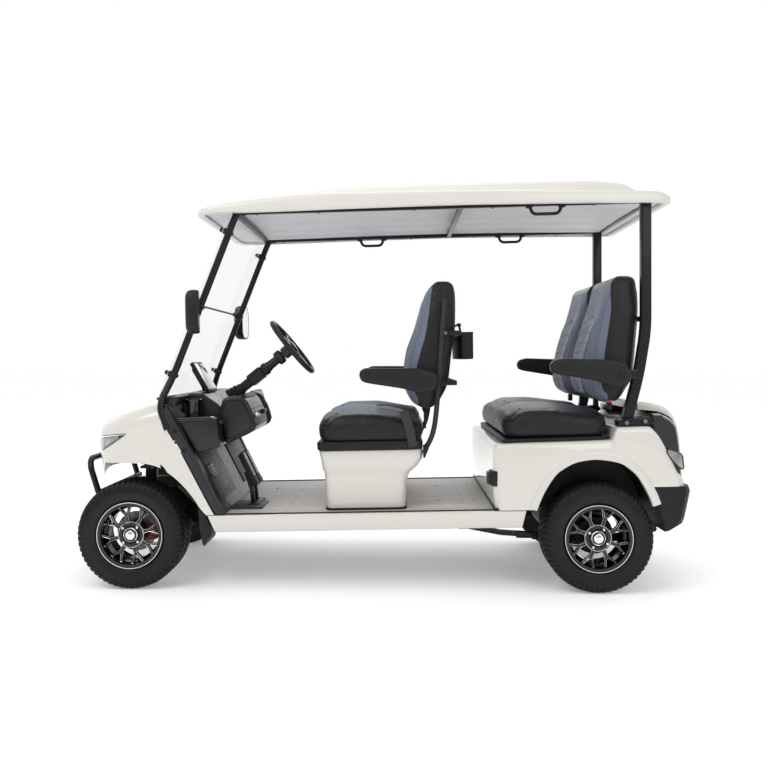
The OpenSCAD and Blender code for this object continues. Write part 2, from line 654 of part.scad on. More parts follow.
module battery_pack() color("#4a4d52") lean()
    box(-280, 280, seat_y + 50, seat_y + 400, floor_top, floor_top + 255);

// ---- Wheels: drawn about the X axis with the outer face toward +X ----
module revolve(P) { rotate([0, 90, 0]) rotate_extrude() polygon(P); }

tyre_half = tyre_width / 2;
seat_half = 89;

module tyre_ring() revolve([[bead_r, seat_half - 20], [bead_r, seat_half - 0.2], [flange_r + 1,
    seat_half - 0.2],
    [flange_r + 4, tyre_half - 6], [flange_r + 22, tyre_half - 1], [(flange_r + wheel_r) / 2, tyre_half],
    [wheel_r - 26, tyre_half - 4], [wheel_r - 8, tyre_half - 14], [wheel_r, tyre_half - 28], [wheel_r,
        -tyre_half + 28],
    [wheel_r - 8, -tyre_half + 14], [wheel_r - 26, -tyre_half + 4], [(flange_r + wheel_r) / 2, -tyre_half],
    [flange_r + 22, -tyre_half + 1], [flange_r + 4, -tyre_half + 6], [flange_r + 1, -seat_half + 0.2],
    [bead_r, -seat_half + 0.2], [bead_r, -seat_half + 20], [bead_r + 24, -seat_half + 8],
        [wheel_r - 30, -seat_half + 4],
    [wheel_r - 14, -seat_half + 26], [wheel_r - 14, seat_half - 26], [wheel_r - 30, seat_half - 4],
        [bead_r + 24, seat_half - 8]]);

module rim_body(brake_r, brake_in, brake_out) {
    plate_in = 50;
    plate_out = 70;
    inner = bead_r - 7.4;
    difference() {
        union() {
            revolve([[inner, -seat_half - 8], [flange_r, -seat_half - 8], [flange_r, -seat_half],
                [bead_r, -seat_half],
                [bead_r, -60], [bead_r - 17, -48], [bead_r - 17, 28], [bead_r, 42], [bead_r,
                    seat_half], [flange_r, seat_half],
                [flange_r, seat_half + 8], [inner, seat_half + 8], [inner, 38], [inner - 17, 25],
                    [inner - 17, -44], [inner, -58]]);
            translate([plate_in, 0, 0]) rotate([90, 0, 90]) linear_extrude(plate_out - plate_in) union() {
                circle(r = 68);
                for (i = [0 : spoke_count - 1]) rotate(i * 360 / spoke_count) {
                    polygon([[50, -12], [106, -9], [106, 9], [50, 12]]);
                    for (s = [-1, 1])
                        polygon(band([[96, 4 * s], [(inner + 4) * cos(90 / spoke_count),
                            s * (inner + 4) * sin(90 / spoke_count)]], 12));
                }
            }
            rod_x(-30, plate_out + 4, 0, 0, 38);
            rod_x(brake_in, brake_out, 0, 0, brake_r);
        }
        rod_x(-60, 40, 0, 0, bore_r);
        for (a = [45 : 90 : 315]) rotate([a, 0, 0]) rod_x(-60, 90, 0, lug_circle / 2, 6.5);
    }
}

module at_wheel(s, y) translate([0, y, wheel_r]) scale([1, 1, 1]) mirror([s < 0 ? 1 : 0, 0,
    0]) translate([wheel_x, 0, 0]) children();

module tyre_front_left() color("#1d1d1f") at_wheel(1, front_y) tyre_ring();
module tyre_front_right() color("#1d1d1f") at_wheel(-1, front_y) tyre_ring();
module tyre_rear_left() color("#1d1d1f") at_wheel(1, rear_y) tyre_ring();
module tyre_rear_right() color("#1d1d1f") at_wheel(-1, rear_y) tyre_ring();
module rim_front_left() color("#2e2f32") at_wheel(1, front_y) rim_body(100, -30, -22);
module rim_front_right() color("#2e2f32") at_wheel(-1, front_y) rim_body(100, -30, -22);
module rim_rear_left() color("#2e2f32") at_wheel(1, rear_y) rim_body(90, -35, 8);
module rim_rear_right() color("#2e2f32") at_wheel(-1, rear_y) rim_body(90, -35, 8);

// ---- Running gear ----
module knuckle_left() color("#3d3f43") translate([0, front_y, wheel_r]) difference() {
    union() {
        translate([kingpin_x, 0, -60]) cylinder(r = 24, h = 120);
        rod_x(kingpin_x + 5, wheel_x + 35, 0, 0, spindle_r);
        rod_x(kingpin_x + 10, wheel_x - 65, 0, 0, 30);
        box(kingpin_x - 12, kingpin_x + 8, 10, 118, -32, -16);
        box(kingpin_x + 20, wheel_x - 47, 5, 75, -15, 15);
        difference() {
            box(wheel_x - 50, wheel_x - 2, 58, 108, -36, 36);
            box(wheel_x - 37, wheel_x - 15, 40, 120, -50, 50);
        }
        box(wheel_x - 50, wheel_x - 2, 106, 112, -30, 30);
    }
    translate([kingpin_x, 0, -70]) cylinder(r = 10 + fit, h = 140);
}
module knuckle_right() mirror([1, 0, 0]) knuckle_left();

module front_suspension() color("#303236") {
    translate([0, front_y, wheel_r]) {
        box(-kingpin_x + 48, kingpin_x - 48, -26, 26, -28, 12);
        both() {
            box(kingpin_x - 60, kingpin_x - 45, -26, 26, -80, 80);
            box(kingpin_x - 47, kingpin_x + 22, -24, 24, 66, 80);
            box(kingpin_x - 47, kingpin_x + 22, -24, 24, -80, -66);
            translate([kingpin_x, 0, -72]) cylinder(r = 10, h = 144);
            translate([kingpin_x - 87, 0, 10]) cylinder(r = 26, h = 190);
            translate([kingpin_x - 87, 0, 198]) cylinder(r = 10, h = 100);
            box(frame_x - 18, kingpin_x - 60, -30, 30, 296, 308);
            box(frame_x - 18, frame_x + 18, -30, 30, 188, 300);
        }
        rod_x(-210, 210, 132, -22, 22);
        both() {
            rod_x(205, 250, 132, -22, 17);
            rod_x(245, 300, 132, -22, 8);
            box(195, 215, 122, 142, -10, 84);
        }
    }
}

module rear_axle() color("#303236") {
    translate([0, rear_y, wheel_r]) {
        rod_x(-wheel_x + 44, wheel_x - 44, 0, 0, 32);
        rod_x(-wheel_x - 35, wheel_x + 35, 0, 0, spindle_r);
        both() rod_x(wheel_x - 50, wheel_x - 43, 0, 0, 100);
        rod_x(-60, 60, 0, 0, 92);
        rod_x(-170, 120, -130, 12, 80);
        both() box(spring_x - 26, spring_x + 26, -42, 42, -32, -18);
        both() box(spring_x - 26, spring_x + 26, -42, 42, -64, -54);
    }
}

spring_path = [[rear_y - 635, 274], [rear_y - 440, 238], [rear_y - 220, 225], [rear_y + 220, 225],
    [rear_y + 338, 262]];

module rear_springs() color("#28292c") both() {
    slab(band(spring_path, 22), spring_x - 23, spring_x + 23);
    rod_x(spring_x - 23, spring_x + 23, rear_y - 641, 276, 16);
    rod_x(spring_x - 23, spring_x + 23, rear_y + 342, 266, 16);
}

chassis_rails();
chassis_cross_members();
chassis_outriggers();
floor_deck();
side_sills();
front_cowl();
headlights();
body_trim();
front_bumper();
dashboard();
dash_pods();
toe_board();
dash_screen();
pedals();
steering_column();
windshield_struts();
windshield_panes();
mirrors();
roof_panel();
roof_frame();
grab_handles();
rear_posts();
front_seat_base();
seat_trays();
seat_cushions();
seat_backs();
seat_frames();
storage_tray();
seat_belts();
rear_body();
arch_liners();
rear_fascia();
rear_cap();
tail_lights();
rear_bumper();
battery_pack();
front_suspension();
rear_axle();
rear_springs();
knuckle_left();
knuckle_right();
steering_wheel();
tyre_front_left();
rim_front_left();
tyre_front_right();
rim_front_right();
tyre_rear_left();
rim_rear_left();
tyre_rear_right();
rim_rear_right();
armrest_front_left();
armrest_front_right();
armrest_rear_left();
armrest_rear_right();
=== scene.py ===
"""Looks for a four-seat golf cart: painted mouldings, glass, seats, wheels and trim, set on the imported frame.

Lengths in the code are millimetres. Body pieces are drawn level, at the stations the body is designed in, and
then leaned nose-down with the body. Wheels are drawn about the X axis and set at their hubs.
"""
import math
import random

import bmesh
import bpy
from mathutils import Matrix, Vector


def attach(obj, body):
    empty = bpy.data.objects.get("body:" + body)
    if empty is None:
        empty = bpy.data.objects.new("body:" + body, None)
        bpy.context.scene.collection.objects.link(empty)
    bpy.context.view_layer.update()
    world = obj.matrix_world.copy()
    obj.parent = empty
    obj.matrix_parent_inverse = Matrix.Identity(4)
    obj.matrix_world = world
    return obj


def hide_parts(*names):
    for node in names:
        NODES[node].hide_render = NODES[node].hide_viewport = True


bl_info = {
    "name": "Golf cart looks",
    "version": (1, 0, 0),
    "blender": (4, 5, 0),
    "location": "View3D > Sidebar > Golf cart",
    "description": "Builds the visible pieces and finishes of a four-seat golf cart on its frame",
    "category": "Object",
}

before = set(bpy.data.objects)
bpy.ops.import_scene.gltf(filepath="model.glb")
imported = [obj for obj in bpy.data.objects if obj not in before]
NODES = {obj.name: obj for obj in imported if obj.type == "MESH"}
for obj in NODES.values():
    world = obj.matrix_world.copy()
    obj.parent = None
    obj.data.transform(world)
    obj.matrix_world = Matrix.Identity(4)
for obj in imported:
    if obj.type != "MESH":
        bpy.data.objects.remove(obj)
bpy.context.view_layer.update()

# the body's nose-down lean in degrees, and how far it slides back first
LEAN_ANGLE = 1.3
LEAN = Matrix.Rotation(math.radians(LEAN_ANGLE), 4, "X")
SHIFT = 6.1
# stage: half size of the floor in metres, its own light, and the camera's place and turn in degrees
FLOOR_HALF = 60.0
FLOOR_GLOW = 0.24
CAMERA_PLACE = (4.65, 0.112, 1.146)
CAMERA_TURN = 2.0
made = {}


# ---------------------------------------------------------------- mesh helpers
def at(x, y, z):
    """A level body station in millimetres as a point in metres."""
    return Vector((x, y + SHIFT, z)) * 0.001


def lerp(a, b, t):
    return a + (b - a) * t


def clamp(v, low=0.0, high=1.0):
    return max(low, min(high, v))


def ease(v, low, high):
    t = clamp((v - low) / (high - low))
    return t * t * (3 - 2 * t)


def curve_through(knots):
    """A smooth function through (key, value) knots, flat past the ends, that never overshoots."""
    keys = [k for k, _ in knots]
    vals = [v for _, v in knots]
    slopes = []
    for i in range(len(keys)):
        if i in (0, len(keys) - 1):
            slopes.append(0.0)
            continue
        a = (vals[i] - vals[i - 1]) / (keys[i] - keys[i - 1])
        b = (vals[i + 1] - vals[i]) / (keys[i + 1] - keys[i])
        slopes.append(0.0 if a * b <= 0 else 2 * a * b / (a + b))
    if len(keys) > 1:
        slopes[0] = (vals[1] - vals[0]) / (keys[1] - keys[0])
        slopes[-1] = (vals[-1] - vals[-2]) / (keys[-1] - keys[-2])

    def value(k):
        if k <= keys[0]:
            return vals[0]
        if k >= keys[-1]:
            return vals[-1]
        i = max(j for j in range(len(keys)) if keys[j] <= k)
        h = keys[i + 1] - keys[i]
        t = (k - keys[i]) / h
        return (
            (2 * t**3 - 3 * t**2 + 1) * vals[i]
            + (t**3 - 2 * t**2 + t) * h * slopes[i]
            + (-2 * t**3 + 3 * t**2) * vals[i + 1]
            + (t**3 - t**2) * h * slopes[i + 1]
        )

    return value


def spline(points, steps=8, closed=False):
    """Points of a smooth curve through the given points."""
    n = len(points)
    pts = [Vector(p) for p in points]
    out = []
    spans = n if closed else n - 1
    for i in range(spans):
        p0 = pts[(i - 1) % n] if closed or i > 0 else pts[0]
        p1, p2 = pts[i % n], pts[(i + 1) % n]
        p3 = pts[(i + 2) % n] if closed or i + 2 < n else pts[-1]
        for k in range(steps):
            t = k / steps
            out.append(
                0.5 * (
                    (2 * p1) + (p2 - p0) * t + (2 * p0 - 5 * p1 + 4 * p2 - p3) * t**2
                    + (3 * p1 - p0 - 3 * p2 + p3) * t**3
                )
            )
    if not closed:
        out.append(pts[-1])
    return out


def rounded(points, radius, steps=6, closed=False):
    """A polyline with each corner turned into an arc-like bend."""
    pts = [Vector(p) for p in points]
    n = len(pts)
    out = []
    for i in range(n):
        if not closed and i in (0, n - 1):
            out.append(pts[i])
            continue
        a, b, c = pts[i - 1], pts[i], pts[(i + 1) % n]
        cut = min(radius, (a - b).length * 0.48, (c - b).length * 0.48)
        p, q = b + (a - b).normalized() * cut, b + (c - b).normalized() * cut
        for k in range(steps + 1):
            t = k / steps
            out.append(p * (1 - t) ** 2 + b * 2 * t * (1 - t) + q * t**2)
    return out


def make_object(name, verts, faces, centre=None):
    """A new mesh object; with a centre, its faces are turned to point away from it."""
    mesh = bpy.data.meshes.new(name)
    mesh.from_pydata([tuple(v) for v in verts], [], faces)
    mesh.update()
    obj = bpy.data.objects.new(name, mesh)
    bpy.context.scene.collection.objects.link(obj)
    bm = bmesh.new()
    bm.from_mesh(mesh)
    bmesh.ops.remove_doubles(bm, verts=bm.verts, dist=0.00002)
    if centre is None:
        bmesh.ops.recalc_face_normals(bm, faces=bm.faces)
    else:
        total = sum((f.calc_center_median() - centre).dot(f.normal) * f.calc_area() for f in bm.faces)
        if total < 0:
            bmesh.ops.reverse_faces(bm, faces=bm.faces)
    bm.to_mesh(mesh)
    bm.free()
    return obj


def sheet_faces(rows, cols, wrap_rows=False, wrap_cols=False):
    faces = []
    for i in range(rows if wrap_rows else rows - 1):
        for j in range(cols if wrap_cols else cols - 1):
            a, b = i * cols + j, i * cols + (j + 1) % cols
            c, d = ((i + 1) % rows) * cols + (j + 1) % cols, ((i + 1) % rows) * cols + j
            faces.append((a, b, c, d))
    return faces


def sheet_object(name, rows, centre=None, wrap_cols=False, wrap_rows=False):
    verts = [p for row in rows for p in row]
    return make_object(name, verts, sheet_faces(len(rows), len(rows[0]), wrap_rows, wrap_cols), centre)


def loft(name, rings, cap=True):
    """A closed skin over rings of points that all have the same count."""
    n = len(rings[0])
    verts = [p for ring in rings for p in ring]
    faces = sheet_faces(len(rings), n, wrap_cols=True)
    if cap:
        faces.append(tuple(range(n)))
        faces.append(tuple(range(len(verts) - n, len(verts))))
    return make_object(name, verts, faces)


def ring_frames(path):
    """Directions across a path that don't twist from point to point."""
    n = len(path)
    tangents = [(path[min(i + 1, n - 1)] - path[max(i - 1, 0)]).normalized() for i in range(n)]
    side = tangents[0].orthogonal().normalized()
    frames = []
    for t in tangents:
        side = (side - t * side.dot(t)).normalized()
        frames.append((side, t.cross(side).normalized()))
    return frames


def tube(name, path, radius, sides=18, closed=False):
    """A round bar along a path in metres; radius in millimetres, a number or one for each point."""
    path = [Vector(p) for p in path]
    frames = ring_frames(path)
    rings = []
    for i, p in enumerate(path):
        r = (radius[i] if isinstance(radius, (list, tuple)) else radius) * 0.001
        a, b = frames[i]
        turns = [2 * math.pi * k / sides for k in range(sides)]
        rings.append([p + (a * math.cos(q) + b * math.sin(q)) * r for q in turns])
    if closed:
        return make_object(name, [p for r in rings for p in r], sheet_faces(len(rings), sides, True, True))
    return loft(name, rings)


def strip(name, path, width, thick, normal_at):
    """A flat band along a path; normal_at(i) gives the way its face looks."""
    path = [Vector(p) for p in path]
    rings = []
    for i, p in enumerate(path):
        t = (path[min(i + 1, len(path) - 1)] - path[max(i - 1, 0)]).normalized()
        nrm = Vector(normal_at(i)).normalized()
        nrm = (nrm - t * nrm.dot(t)).normalized()
        s = t.cross(nrm).normalized() * width * 0.0005
        h = nrm * thick * 0.0005
        rings.append([p + s * 0.92 + h, p + s + h * 0.2, p + s - h * 0.2, p + s * 0.92 - h,
                      p - s * 0.92 - h, p - s - h * 0.2, p - s + h * 0.2, p - s * 0.92 + h])
    return loft(name, rings)


def turned(name, profile, steps=72, centre=(0, 0, 0)):
    """A body of revolution about X from (x, radius) points in millimetres; ends on the axis are closed."""
    c = Vector(centre) * 0.001
    rings = []
    for k in range(steps):
        q = 2 * math.pi * k / steps
        rings.append([c + Vector((x, r * math.cos(q), r * math.sin(q))) * 0.001 for x, r in profile])
    n = len(profile)
    verts = [p for ring in rings for p in ring]
    closed = profile[0] == profile[-1]
    faces = sheet_faces(steps, n, wrap_rows=True)
    if not closed:
        if profile[0][1] > 0.001:
            faces.append(tuple(k * n for k in range(steps)))
        if profile[-1][1] > 0.001:
            faces.append(tuple(k * n + n - 1 for k in range(steps)))
    return make_object(name, verts, [f for f in faces if len(set(f)) > 2])


def prism(name, outline, x0, x1, bevel=4.0, segments=3, level=True):
    """A side outline of (y, z) stations carried across from x0 to x1, with rounded edges."""
    place = at if level else (lambda x, y, z: Vector((x, y, z)) * 0.001)
    a = [place(x0, p[0], p[1]) for p in outline]
    b = [place(x1, p[0], p[1]) for p in outline]
    obj = loft(name, [a, b])
    if bevel:
        round_edges(obj, bevel, segments)
    return obj


def round_edges(obj, width, segments=3, angle=28):
    mod = obj.modifiers.new("Rounded edges", "BEVEL")
    mod.width = width * 0.001
    mod.segments = segments
    mod.limit_method = "ANGLE"
    mod.angle_limit = math.radians(angle)
    mod.harden_normals = False
    return bake(obj)


def thicken(obj, wall, offset=-1.0):
    mod = obj.modifiers.new("Wall", "SOLIDIFY")
    mod.thickness = wall * 0.001
    mod.offset = offset
    mod.use_even_offset = True
    return bake(obj)


def subdivide(obj, levels=1):
    mod = obj.modifiers.new("Smooth", "SUBSURF")
    mod.levels = mod.render_levels = levels
    return bake(obj)


def bake(obj):
    """Turns the modifiers into plain mesh."""
    graph = bpy.context.evaluated_depsgraph_get()
    graph.update()
    mesh = bpy.data.meshes.new_from_object(obj.evaluated_get(graph), preserve_all_data_layers=True,
            depsgraph=graph)
    obj.modifiers.clear()
    old = obj.data
    obj.data = mesh
    mesh.name = old.name
    if old.users == 0:
        bpy.data.meshes.remove(old)
    return obj


def merge(name, objects):
    """Joins meshes into the first one, keeping their finishes."""
    bm = bmesh.new()
    finishes = []
    for o in objects:
        start = len(bm.faces)
        bm.from_mesh(o.data)
        bm.faces.ensure_lookup_table()
        local = []
        for m in o.data.materials or [None]:
            if m not in finishes:
                finishes.append(m)
            local.append(finishes.index(m))
        for f in bm.faces[start:]:
            f.material_index = local[min(f.material_index, len(local) - 1)]
    mesh = bpy.data.meshes.new(name)
    bm.to_mesh(mesh)
    bm.free()
    for m in finishes:
        mesh.materials.append(m)
    obj = bpy.data.objects.new(name, mesh)
    bpy.context.scene.collection.objects.link(obj)
    for o in objects:
        bpy.data.objects.remove(o)
    return obj


def mirrored(obj, name):
    """The same piece on the other side of the cart."""
    mesh = obj.data.copy()
    mesh.transform(Matrix.Scale(-1, 4, (1, 0, 0)))
    mesh.flip_normals()
    twin = bpy.data.objects.new(name, mesh)
    bpy.context.scene.collection.objects.link(twin)
    return twin


def paint(obj, *finishes):
    obj.data.materials.clear()
    for f in finishes:
        obj.data.materials.append(f)
    return obj


def paint_faces(obj, finishes, pick):
    """Gives each face the finish whose index pick(centre, normal) returns; the centre is in millimetres."""
    paint(obj, *finishes)
    for poly in obj.data.polygons:
        poly.material_index = pick(poly.center * 1000, poly.normal)
    return obj


def shade(obj, angle=38):
    """Smooth faces with crisp edges where the surface turns sharply."""
    mesh = obj.data
    bm = bmesh.new()
    bm.from_mesh(mesh)
    limit = math.radians(angle)
    for f in bm.faces:
        f.smooth = True
    for e in bm.edges:
        e.smooth = not (len(e.link_faces) == 2 and e.calc_face_angle(0) > limit)
    bm.to_mesh(mesh)
    bm.free()
    return obj


def settle(obj, body, slot, lean=True, angle=38, replaces=()):
    """The last step of every piece: lean it with the body, shade it and hang it on its body."""
    if lean:
        obj.data.transform(LEAN)
    shade(obj, angle)
    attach(obj, body)
    if replaces:
        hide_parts(*replaces)
    made[obj.name] = obj
    return obj


# ---------------------------------------------------------------- repeats with geometry nodes
def ring_tree(name, finish):
    """Copies of the input mesh turned evenly about the X axis."""
    tree = bpy.data.node_groups.new(name, "GeometryNodeTree")
    tree.interface.new_socket("Geometry", in_out="INPUT", socket_type="NodeSocketGeometry")
    tree.interface.new_socket("Copies", in_out="INPUT", socket_type="NodeSocketInt").default_value = 8
    tree.interface.new_socket("First angle", in_out="INPUT",
            socket_type="NodeSocketFloat").default_value = 0.0
    tree.interface.new_socket("Geometry", in_out="OUTPUT", socket_type="NodeSocketGeometry")
    n, link = tree.nodes, tree.links.new
    gin, gout = n.new("NodeGroupInput"), n.new("NodeGroupOutput")
    circle = n.new("GeometryNodeMeshCircle")
    circle.inputs["Radius"].default_value = 0.0
    put = n.new("GeometryNodeInstanceOnPoints")
    index = n.new("GeometryNodeInputIndex")
    step = n.new("ShaderNodeMath")
    step.operation = "DIVIDE"
    step.inputs[0].default_value = 2 * math.pi
    turn = n.new("ShaderNodeMath")
    turn.operation = "MULTIPLY"
    add = n.new("ShaderNodeMath")
    add.operation = "ADD"
    angle = n.new("ShaderNodeCombineXYZ")
    real = n.new("GeometryNodeRealizeInstances")
    coat = n.new("GeometryNodeSetMaterial")
    coat.inputs["Material"].default_value = finish
    link(gin.outputs["Copies"], circle.inputs["Vertices"])
    link(gin.outputs["Copies"], step.inputs[1])
    link(index.outputs[0], turn.inputs[0])
    link(step.outputs[0], turn.inputs[1])
    link(turn.outputs[0], add.inputs[0])
    link(gin.outputs["First angle"], add.inputs[1])
    link(add.outputs[0], angle.inputs["X"])
    link(circle.outputs["Mesh"], put.inputs["Points"])
    link(gin.outputs["Geometry"], put.inputs["Instance"])
    link(angle.outputs[0], put.inputs["Rotation"])
    link(put.outputs["Instances"], real.inputs[0])
    link(real.outputs[0], coat.inputs["Geometry"])
    link(coat.outputs[0], gout.inputs[0])
    return tree


def repeat(obj, tree, **values):
    """Runs a repeat tree on the object and turns the result into plain mesh."""
    mod = obj.modifiers.new("Repeat", "NODES")
    mod.node_group = tree
    for item in tree.interface.items_tree:
        if item.in_out == "INPUT" and item.name.replace(" ", "_").lower() in values:
            mod[item.identifier] = values[item.name.replace(" ", "_").lower()]
    return bake(obj)


# ---------------------------------------------------------------- finishes
def node_finish(name):
    mat = bpy.data.materials.new(name)
    mat.use_nodes = True
    shader = next(n for n in mat.node_tree.nodes if n.type == "BSDF_PRINCIPLED")
    return mat, mat.node_tree.nodes, mat.node_tree.links.new, shader


def coords(n, link, scale=(1, 1, 1), turn=(0, 0, 0)):
    tex = n.new("ShaderNodeTexCoord")
    mapping = n.new("ShaderNodeMapping")
    mapping.inputs["Scale"].default_value = scale
    mapping.inputs["Rotation"].default_value = turn
    link(tex.outputs["Object"], mapping.inputs["Vector"])
    return mapping.outputs[0]


def noise_node(n, link, where, scale, detail=4.0, rough=0.55):
    tex = n.new("ShaderNodeTexNoise")
    tex.inputs["Scale"].default_value = scale
    tex.inputs["Detail"].default_value = detail
    tex.inputs["Roughness"].default_value = rough
    link(where, tex.inputs["Vector"])
    return tex.outputs["Fac"]


def ranged(n, link, value, low, high, a=0.3, b=0.7):
    node = n.new("ShaderNodeMapRange")
    node.inputs["From Min"].default_value = a
    node.inputs["From Max"].default_value = b
    node.inputs["To Min"].default_value = low
    node.inputs["To Max"].default_value = high
    link(value, node.inputs["Value"])
    return node.outputs[0]


def mixed(n, link, factor, a, b):
    node = n.new("ShaderNodeMix")
    node.data_type = "RGBA"
    link(factor, node.inputs["Factor"])
    for socket, value in (("A", a), ("B", b)):
        target = next(s for s in node.inputs if s.name == socket and s.type == "RGBA")
        if isinstance(value, (tuple, list)):
            target.default_value = (*value[:3], 1)
        else:
            link(value, target)
    return next(s for s in node.outputs if s.type == "RGBA")


def bumped(n, link, height, strength, distance, shader, below=None):
    node = n.new("ShaderNodeBump")
    node.inputs["Strength"].default_value = strength
    node.inputs["Distance"].default_value = distance * 0.001
    link(height, node.inputs["Height"])
    if below is not None:
        link(below, node.inputs["Normal"])
    link(node.outputs[0], shader.inputs["Normal"])
    return node.outputs[0]


def darker(colour, k):
    return tuple(c * k for c in colour[:3])


def moulded(name, colour, rough=0.45, coat=0.0, grain=900.0, depth=0.15, spread=0.9, metal=0.0, mottle=6.0):
    """Painted or moulded surface with a fine grain, slow tone changes and uneven gloss."""
    mat, n, link, shader = node_finish(name)
    where = coords(n, link)
    slow = noise_node(n, link, where, mottle, 3)
    fine = noise_node(n, link, where, grain, 3)
    link(mixed(n, link, ranged(n, link, slow, 0, 1), colour, darker(colour, spread)),
            shader.inputs["Base Color"])
    link(ranged(n, link, noise_node(n, link, where, 38, 4), rough * 0.86, rough * 1.16),
            shader.inputs["Roughness"])
    shader.inputs["Metallic"].default_value = metal
    shader.inputs["Coat Weight"].default_value = coat
    shader.inputs["Coat Roughness"].default_value = 0.06
    if max(colour) < 0.08:
        shader.inputs["Specular IOR Level"].default_value = 0.3
    bumped(n, link, fine, 0.35, depth, shader)
    return mat


def vinyl(name, colour, rough=0.5, grain=620.0):
    """Seat vinyl: a cell-like leather grain with soft creases."""
    mat, n, link, shader = node_finish(name)
    where = coords(n, link)
    cells = n.new("ShaderNodeTexVoronoi")
    cells.feature = "DISTANCE_TO_EDGE"
    cells.inputs["Scale"].default_value = grain
    link(where, cells.inputs["Vector"])
    crease = noise_node(n, link, where, 22, 5)
    tone = ranged(n, link, crease, 0, 1)
    link(mixed(n, link, tone, colour, darker(colour, 0.78)), shader.inputs["Base Color"])
    link(ranged(n, link, noise_node(n, link, where, 60, 3), rough * 0.85, rough * 1.15),
            shader.inputs["Roughness"])
    shader.inputs["Sheen Weight"].default_value = 0.03
    shader.inputs["Specular IOR Level"].default_value = 0.3
    first = bumped(n, link, crease, 0.25, 1.6, shader)
    bumped(n, link, cells.outputs["Distance"], 0.45, 0.5, shader, first)
    return mat


def woven(name, colour, second, pitch=2.2, rough=0.85, strength=0.5):
    """Cloth with crossed threads and a faint fleck."""
    mat, n, link, shader = node_finish(name)
    where = coords(n, link)
    waves = []
    for turn in ((0, 0, 0), (0, math.pi / 2, 0)):
        wave = n.new("ShaderNodeTexWave")
        wave.inputs["Scale"].default_value = 1000.0 / pitch / 6.283
        wave.inputs["Distortion"].default_value = 0.6
        wave.inputs["Detail"].default_value = 1.0
        link(coords(n, link, turn=turn), wave.inputs["Vector"])
        waves.append(wave.outputs["Fac"])
    join = n.new("ShaderNodeMath")
    join.operation = "ADD"
    link(waves[0], join.inputs[0])
    link(waves[1], join.inputs[1])
    fleck = noise_node(n, link, where, 420, 2)
    link(mixed(n, link, ranged(n, link, fleck, 0, 1), colour, second), shader.inputs["Base Color"])
    shader.inputs["Roughness"].default_value = rough
    shader.inputs["Sheen Weight"].default_value = 0.25
    shader.inputs["Sheen Roughness"].default_value = 0.4
    bumped(n, link, join.outputs[0], strength, 0.35, shader)
    return mat


def plank_mat(name, colour, dark):
    """Floor mat printed as wide grey boards with grain along them and thin seams."""
    mat, n, link, shader = node_finish(name)
    boards = n.new("ShaderNodeTexBrick")
    boards.inputs["Scale"].default_value = 1.0
    boards.inputs["Brick Width"].default_value = 0.9
    boards.inputs["Row Height"].default_value = 0.118
    boards.inputs["Mortar Size"].default_value = 0.0022
    boards.inputs["Mortar Smooth"].default_value = 0.3
    boards.inputs["Color1"].default_value = (*colour, 1)
    boards.inputs["Color2"].default_value = (*darker(colour, 0.86), 1)
    boards.inputs["Mortar"].default_value = (*dark, 1)
    where = coords(n, link, turn=(0, 0, math.pi / 2))
    link(where, boards.inputs["Vector"])
    streak = noise_node(n, link, coords(n, link, scale=(60, 2.2, 60)), 3.2, 6, 0.65)
    link(mixed(n, link, ranged(n, link, streak, 0, 0.55), boards.outputs["Color"], darker(colour, 0.62)),
            shader.inputs["Base Color"])
    shader.inputs["Roughness"].default_value = 0.55
    first = bumped(n, link, streak, 0.2, 0.5, shader)
    bumped(n, link, boards.outputs["Fac"], -0.5, 0.8, shader, first)
    return mat


def clear_finish(name, tint, rough=0.02, alpha=0.12):
    """Thin clear sheet: mostly see-through, with a surface shine."""
    mat, n, link, shader = node_finish(name)
    shader.inputs["Base Color"].default_value = (*tint, 1)
    shader.inputs["Alpha"].default_value = alpha
    where = coords(n, link)
    link(ranged(n, link, noise_node(n, link, where, 9, 2), rough, rough * 2.5), shader.inputs["Roughness"])
    shader.inputs["Specular IOR Level"].default_value = 0.6
    mat.surface_render_method = "BLENDED"
    return mat


def lens_finish(name, colour, alpha=1.0, glow=0.0, pitch=260.0):
    """Lamp lens with fine moulded ribs."""
    mat, n, link, shader = node_finish(name)
    wave = n.new("ShaderNodeTexWave")
    wave.inputs["Scale"].default_value = pitch
    link(coords(n, link), wave.inputs["Vector"])
    link(mixed(n, link, wave.outputs["Fac"], colour, darker(colour, 0.7)), shader.inputs["Base Color"])
    shader.inputs["Roughness"].default_value = 0.12
    shader.inputs["Coat Weight"].default_value = 1.0
    shader.inputs["Alpha"].default_value = alpha
    if glow:
        shader.inputs["Emission Color"].default_value = (*colour, 1)
        shader.inputs["Emission Strength"].default_value = glow
    bumped(n, link, wave.outputs["Fac"], 0.4, 0.3, shader)
    return mat


def ribbed(name, colour, pitch, axis, rough=0.6, depth=0.8, metal=0.0):
    """A surface with straight moulded ribs; the grooves between the ribs are painted darker as shade."""
    mat, n, link, shader = node_finish(name)
    wave = n.new("ShaderNodeTexWave")
    wave.bands_direction = axis
    wave.inputs["Scale"].default_value = 1000.0 / pitch / 6.283 * 0.5
    link(coords(n, link), wave.inputs["Vector"])
    # painted shade: the colour drops to 0.6 of itself in the grooves, where the bump is lowest
    link(mixed(n, link, wave.outputs["Fac"], darker(colour, 0.6), colour), shader.inputs["Base Color"])
    shader.inputs["Roughness"].default_value = rough
    shader.inputs["Metallic"].default_value = metal
    bumped(n, link, wave.outputs["Fac"], 0.7, depth, shader)
    return mat


